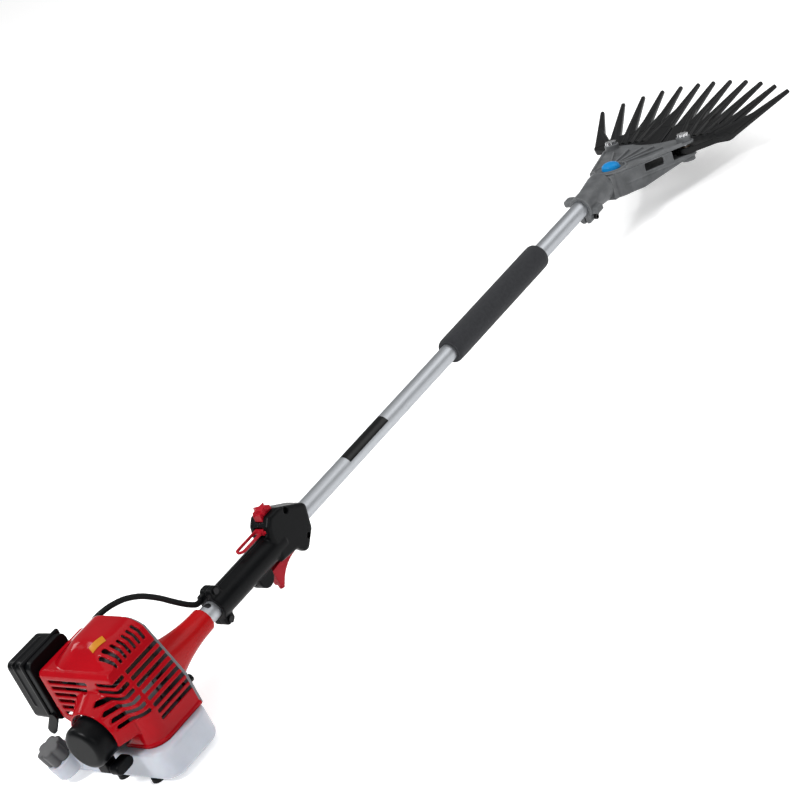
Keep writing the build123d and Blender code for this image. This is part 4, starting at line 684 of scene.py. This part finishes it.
grain = add(blue_cap, "TexNoise", {
    "Vector": place, "Scale": 1 / grain_width, "Detail": 2.0}).outputs["Fac"]
add(blue_cap, "Bump", {"Height": grain, "Strength": 0.12, "Distance": 0.1 * mm}, "Normal")
add(blue_cap, "MapRange", {"Value": grain, "To Min": 0.28, "To Max": 0.42}, "Roughness")
low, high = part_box("grease_cap")
cap_centre = (low + high) / 2
head_turn = head_frame.to_3x3()
bpy.ops.object.select_all(action="DESELECT")
bpy.ops.mesh.primitive_uv_sphere_add(segments=48, ring_count=24, radius=crest_radius * mm)
crest = bpy.context.object
crest.matrix_world = Matrix.Translation(cap_centre) @ head_turn.to_4x4() \
    @ Matrix.Translation((0, 0, crest_lift * mm)) @ Matrix.Diagonal((1, 1, crest_flatness, 1))
settle(crest)
bpy.ops.object.mode_set(mode="EDIT")
bpy.ops.mesh.select_all(action="SELECT")
bpy.ops.mesh.bisect(plane_co=cap_centre, plane_no=head_turn.col[2], use_fill=True,
                    clear_inner=True)
bpy.ops.object.mode_set(mode="OBJECT")
skin("grease_cap", "frame", blue_cap, voxel=0.5, rounds=5, forms=[crest])

# Combs: black glass-filled nylon with a satin skin and faint flow marks along the fingers. A rib
# runs from near the pivot into each finger and stiffens the palm, and a web fills its inner edge.
# Each comb swings on a chromed pivot screw in the head.
finger_x, finger_rise, finger_count = 150, math.radians(17), 6
finger_frame = head_frame @ Matrix.Translation((finger_x * mm, 0, 0)) \
    @ Matrix.Rotation(-finger_rise, 4, "Y")
root_along, root_sweep = 41, 38
root_inner, root_spread = 15, 111
finger_fan, finger_reach = 27.5, 60
pivot_y, rib_gather, rib_start_x = 70, 0.6, 2
rib_start_z, rib_end_z, rib_start_radius, rib_end_radius = 5, 1.0, 4.2, 4.4
web_inner, web_outer, web_back, web_front, web_half, web_edge = 1.5, 17, -12, 44, 4, 2
mark_width, mark_length = 3 * mm, 30 * mm
comb_nylon, place = new_finish("glass-filled black nylon", "#0C0D0E", roughness=0.4,
                               Specular_IOR_Level=0.22)
flow = add(comb_nylon, "Mapping", {
    "Vector": place, "Scale": (1 / mark_length, 1 / mark_width, 1 / mark_width)}).outputs["Vector"]
marks = add(comb_nylon, "TexNoise", {"Vector": flow, "Scale": 1.0, "Detail": 3.0}).outputs["Fac"]
add(comb_nylon, "MapRange", {"Value": marks, "To Min": 0.32, "To Max": 0.5}, "Roughness")
add(comb_nylon, "Mix", {"Factor": marks, "A": "#08090A", "B": "#101112"}, "Base Color",
    data_type="RGBA")
add(comb_nylon, "Bump", {"Height": marks, "Strength": 0.1, "Distance": 0.15 * mm}, "Normal")
for hand, side in ((1, "left"), (-1, "right")):
    ridges = []
    for turn in range(finger_count):
        share = turn / (finger_count - 1)
        along = root_along - root_sweep * share ** 2
        across = root_inner + root_spread * share
        fan = math.radians(finger_fan * share)
        start_y = pivot_y + rib_gather * (across - pivot_y)
        end_x = along + finger_reach * math.cos(fan)
        end_y = across + finger_reach * math.sin(fan)
        ridges.append(spar(on(finger_frame, rib_start_x, hand * start_y, rib_start_z),
                           on(finger_frame, end_x, hand * end_y, rib_end_z),
                           rib_start_radius, rib_end_radius))
    inner, outer = sorted((hand * web_inner, hand * web_outer))
    ridges.append(slab((web_back, inner, -web_half), (web_front, outer, web_half), web_edge,
                       finger_frame))
    skin(f"comb_{side}", f"comb_{side}", comb_nylon, voxel=0.8, rounds=5,
         forms=ridges)
haze_width = 4 * mm
chrome, place = new_finish("chromed steel", "#C9CACC", roughness=0.14, metallic=1.0)
haze = add(chrome, "TexNoise", {
    "Vector": place, "Scale": 1 / haze_width, "Detail": 3.0}).outputs["Fac"]
add(chrome, "MapRange", {"Value": haze, "To Min": 0.08, "To Max": 0.22}, "Roughness")
dress(chrome, "pivot_screws")

# Studio: a pale floor under the tank's feet, soft light from large panels, and the camera at the
# photograph's angle, above and to the right behind the engine. Panels are place, size and watts.
floor_size = 40
panels = [((-0.6, 0.4, 4.0), 5.0, 92), ((-2.6, 0.4, 2.4), 0.45, 60), ((-2.0, -2.9, 1.9), 1.7, 20),
          ((2.4, -1.4, 2.4), 2.4, 44), ((-0.4, 2.8, 1.8), 0.9, 16)]
panel_aim = Vector((-0.1, 0, 0.1))
image_width, focal_pixels, sensor_width = 800, 2526.7, 36
camera_spot = at(-1724, -2372.6, 1507.5)
camera_right = Vector((0.5330, -0.7473, -0.3987))
camera_back = Vector((-0.6177, -0.6642, 0.4202)).normalized()
bpy.context.scene.view_settings.view_transform = "Standard"
bpy.ops.object.select_all(action="DESELECT")
bpy.ops.mesh.primitive_plane_add(size=floor_size, location=(0, 0, 0))
floor = bpy.context.object
floor.name = "studio_floor"
floor_paint, place = new_finish("pale studio floor", "#F6F6F6", roughness=0.8,
                                Specular_IOR_Level=0.1, Emission_Color=(1, 1, 1, 1),
                                Emission_Strength=0.38)
floor.data.materials.append(floor_paint)
world = bpy.data.worlds.new("soft studio")
bpy.context.scene.world = world
world.use_nodes = True
sky = world.node_tree.nodes["Background"].inputs
sky["Color"].default_value = (1, 1, 1, 1)
sky["Strength"].default_value = 0.3
for spot, size, power in panels:
    bpy.ops.object.light_add(type="AREA", location=spot)
    panel = bpy.context.object
    panel.data.size = size
    panel.data.energy = power
    panel.rotation_euler = (panel_aim - Vector(spot)).to_track_quat("-Z", "Y").to_euler()
bpy.ops.object.camera_add()
camera = bpy.context.object
camera.data.sensor_width = sensor_width
camera.data.lens = focal_pixels / image_width * sensor_width
camera_up = camera_back.cross(camera_right).normalized()
camera_right = camera_up.cross(camera_back)
camera_turn = Matrix((camera_right, camera_up, camera_back)).transposed().to_4x4()
camera.matrix_world = Matrix.Translation(camera_spot) @ camera_turn
camera.data.clip_end = 60
bpy.context.scene.camera = camera
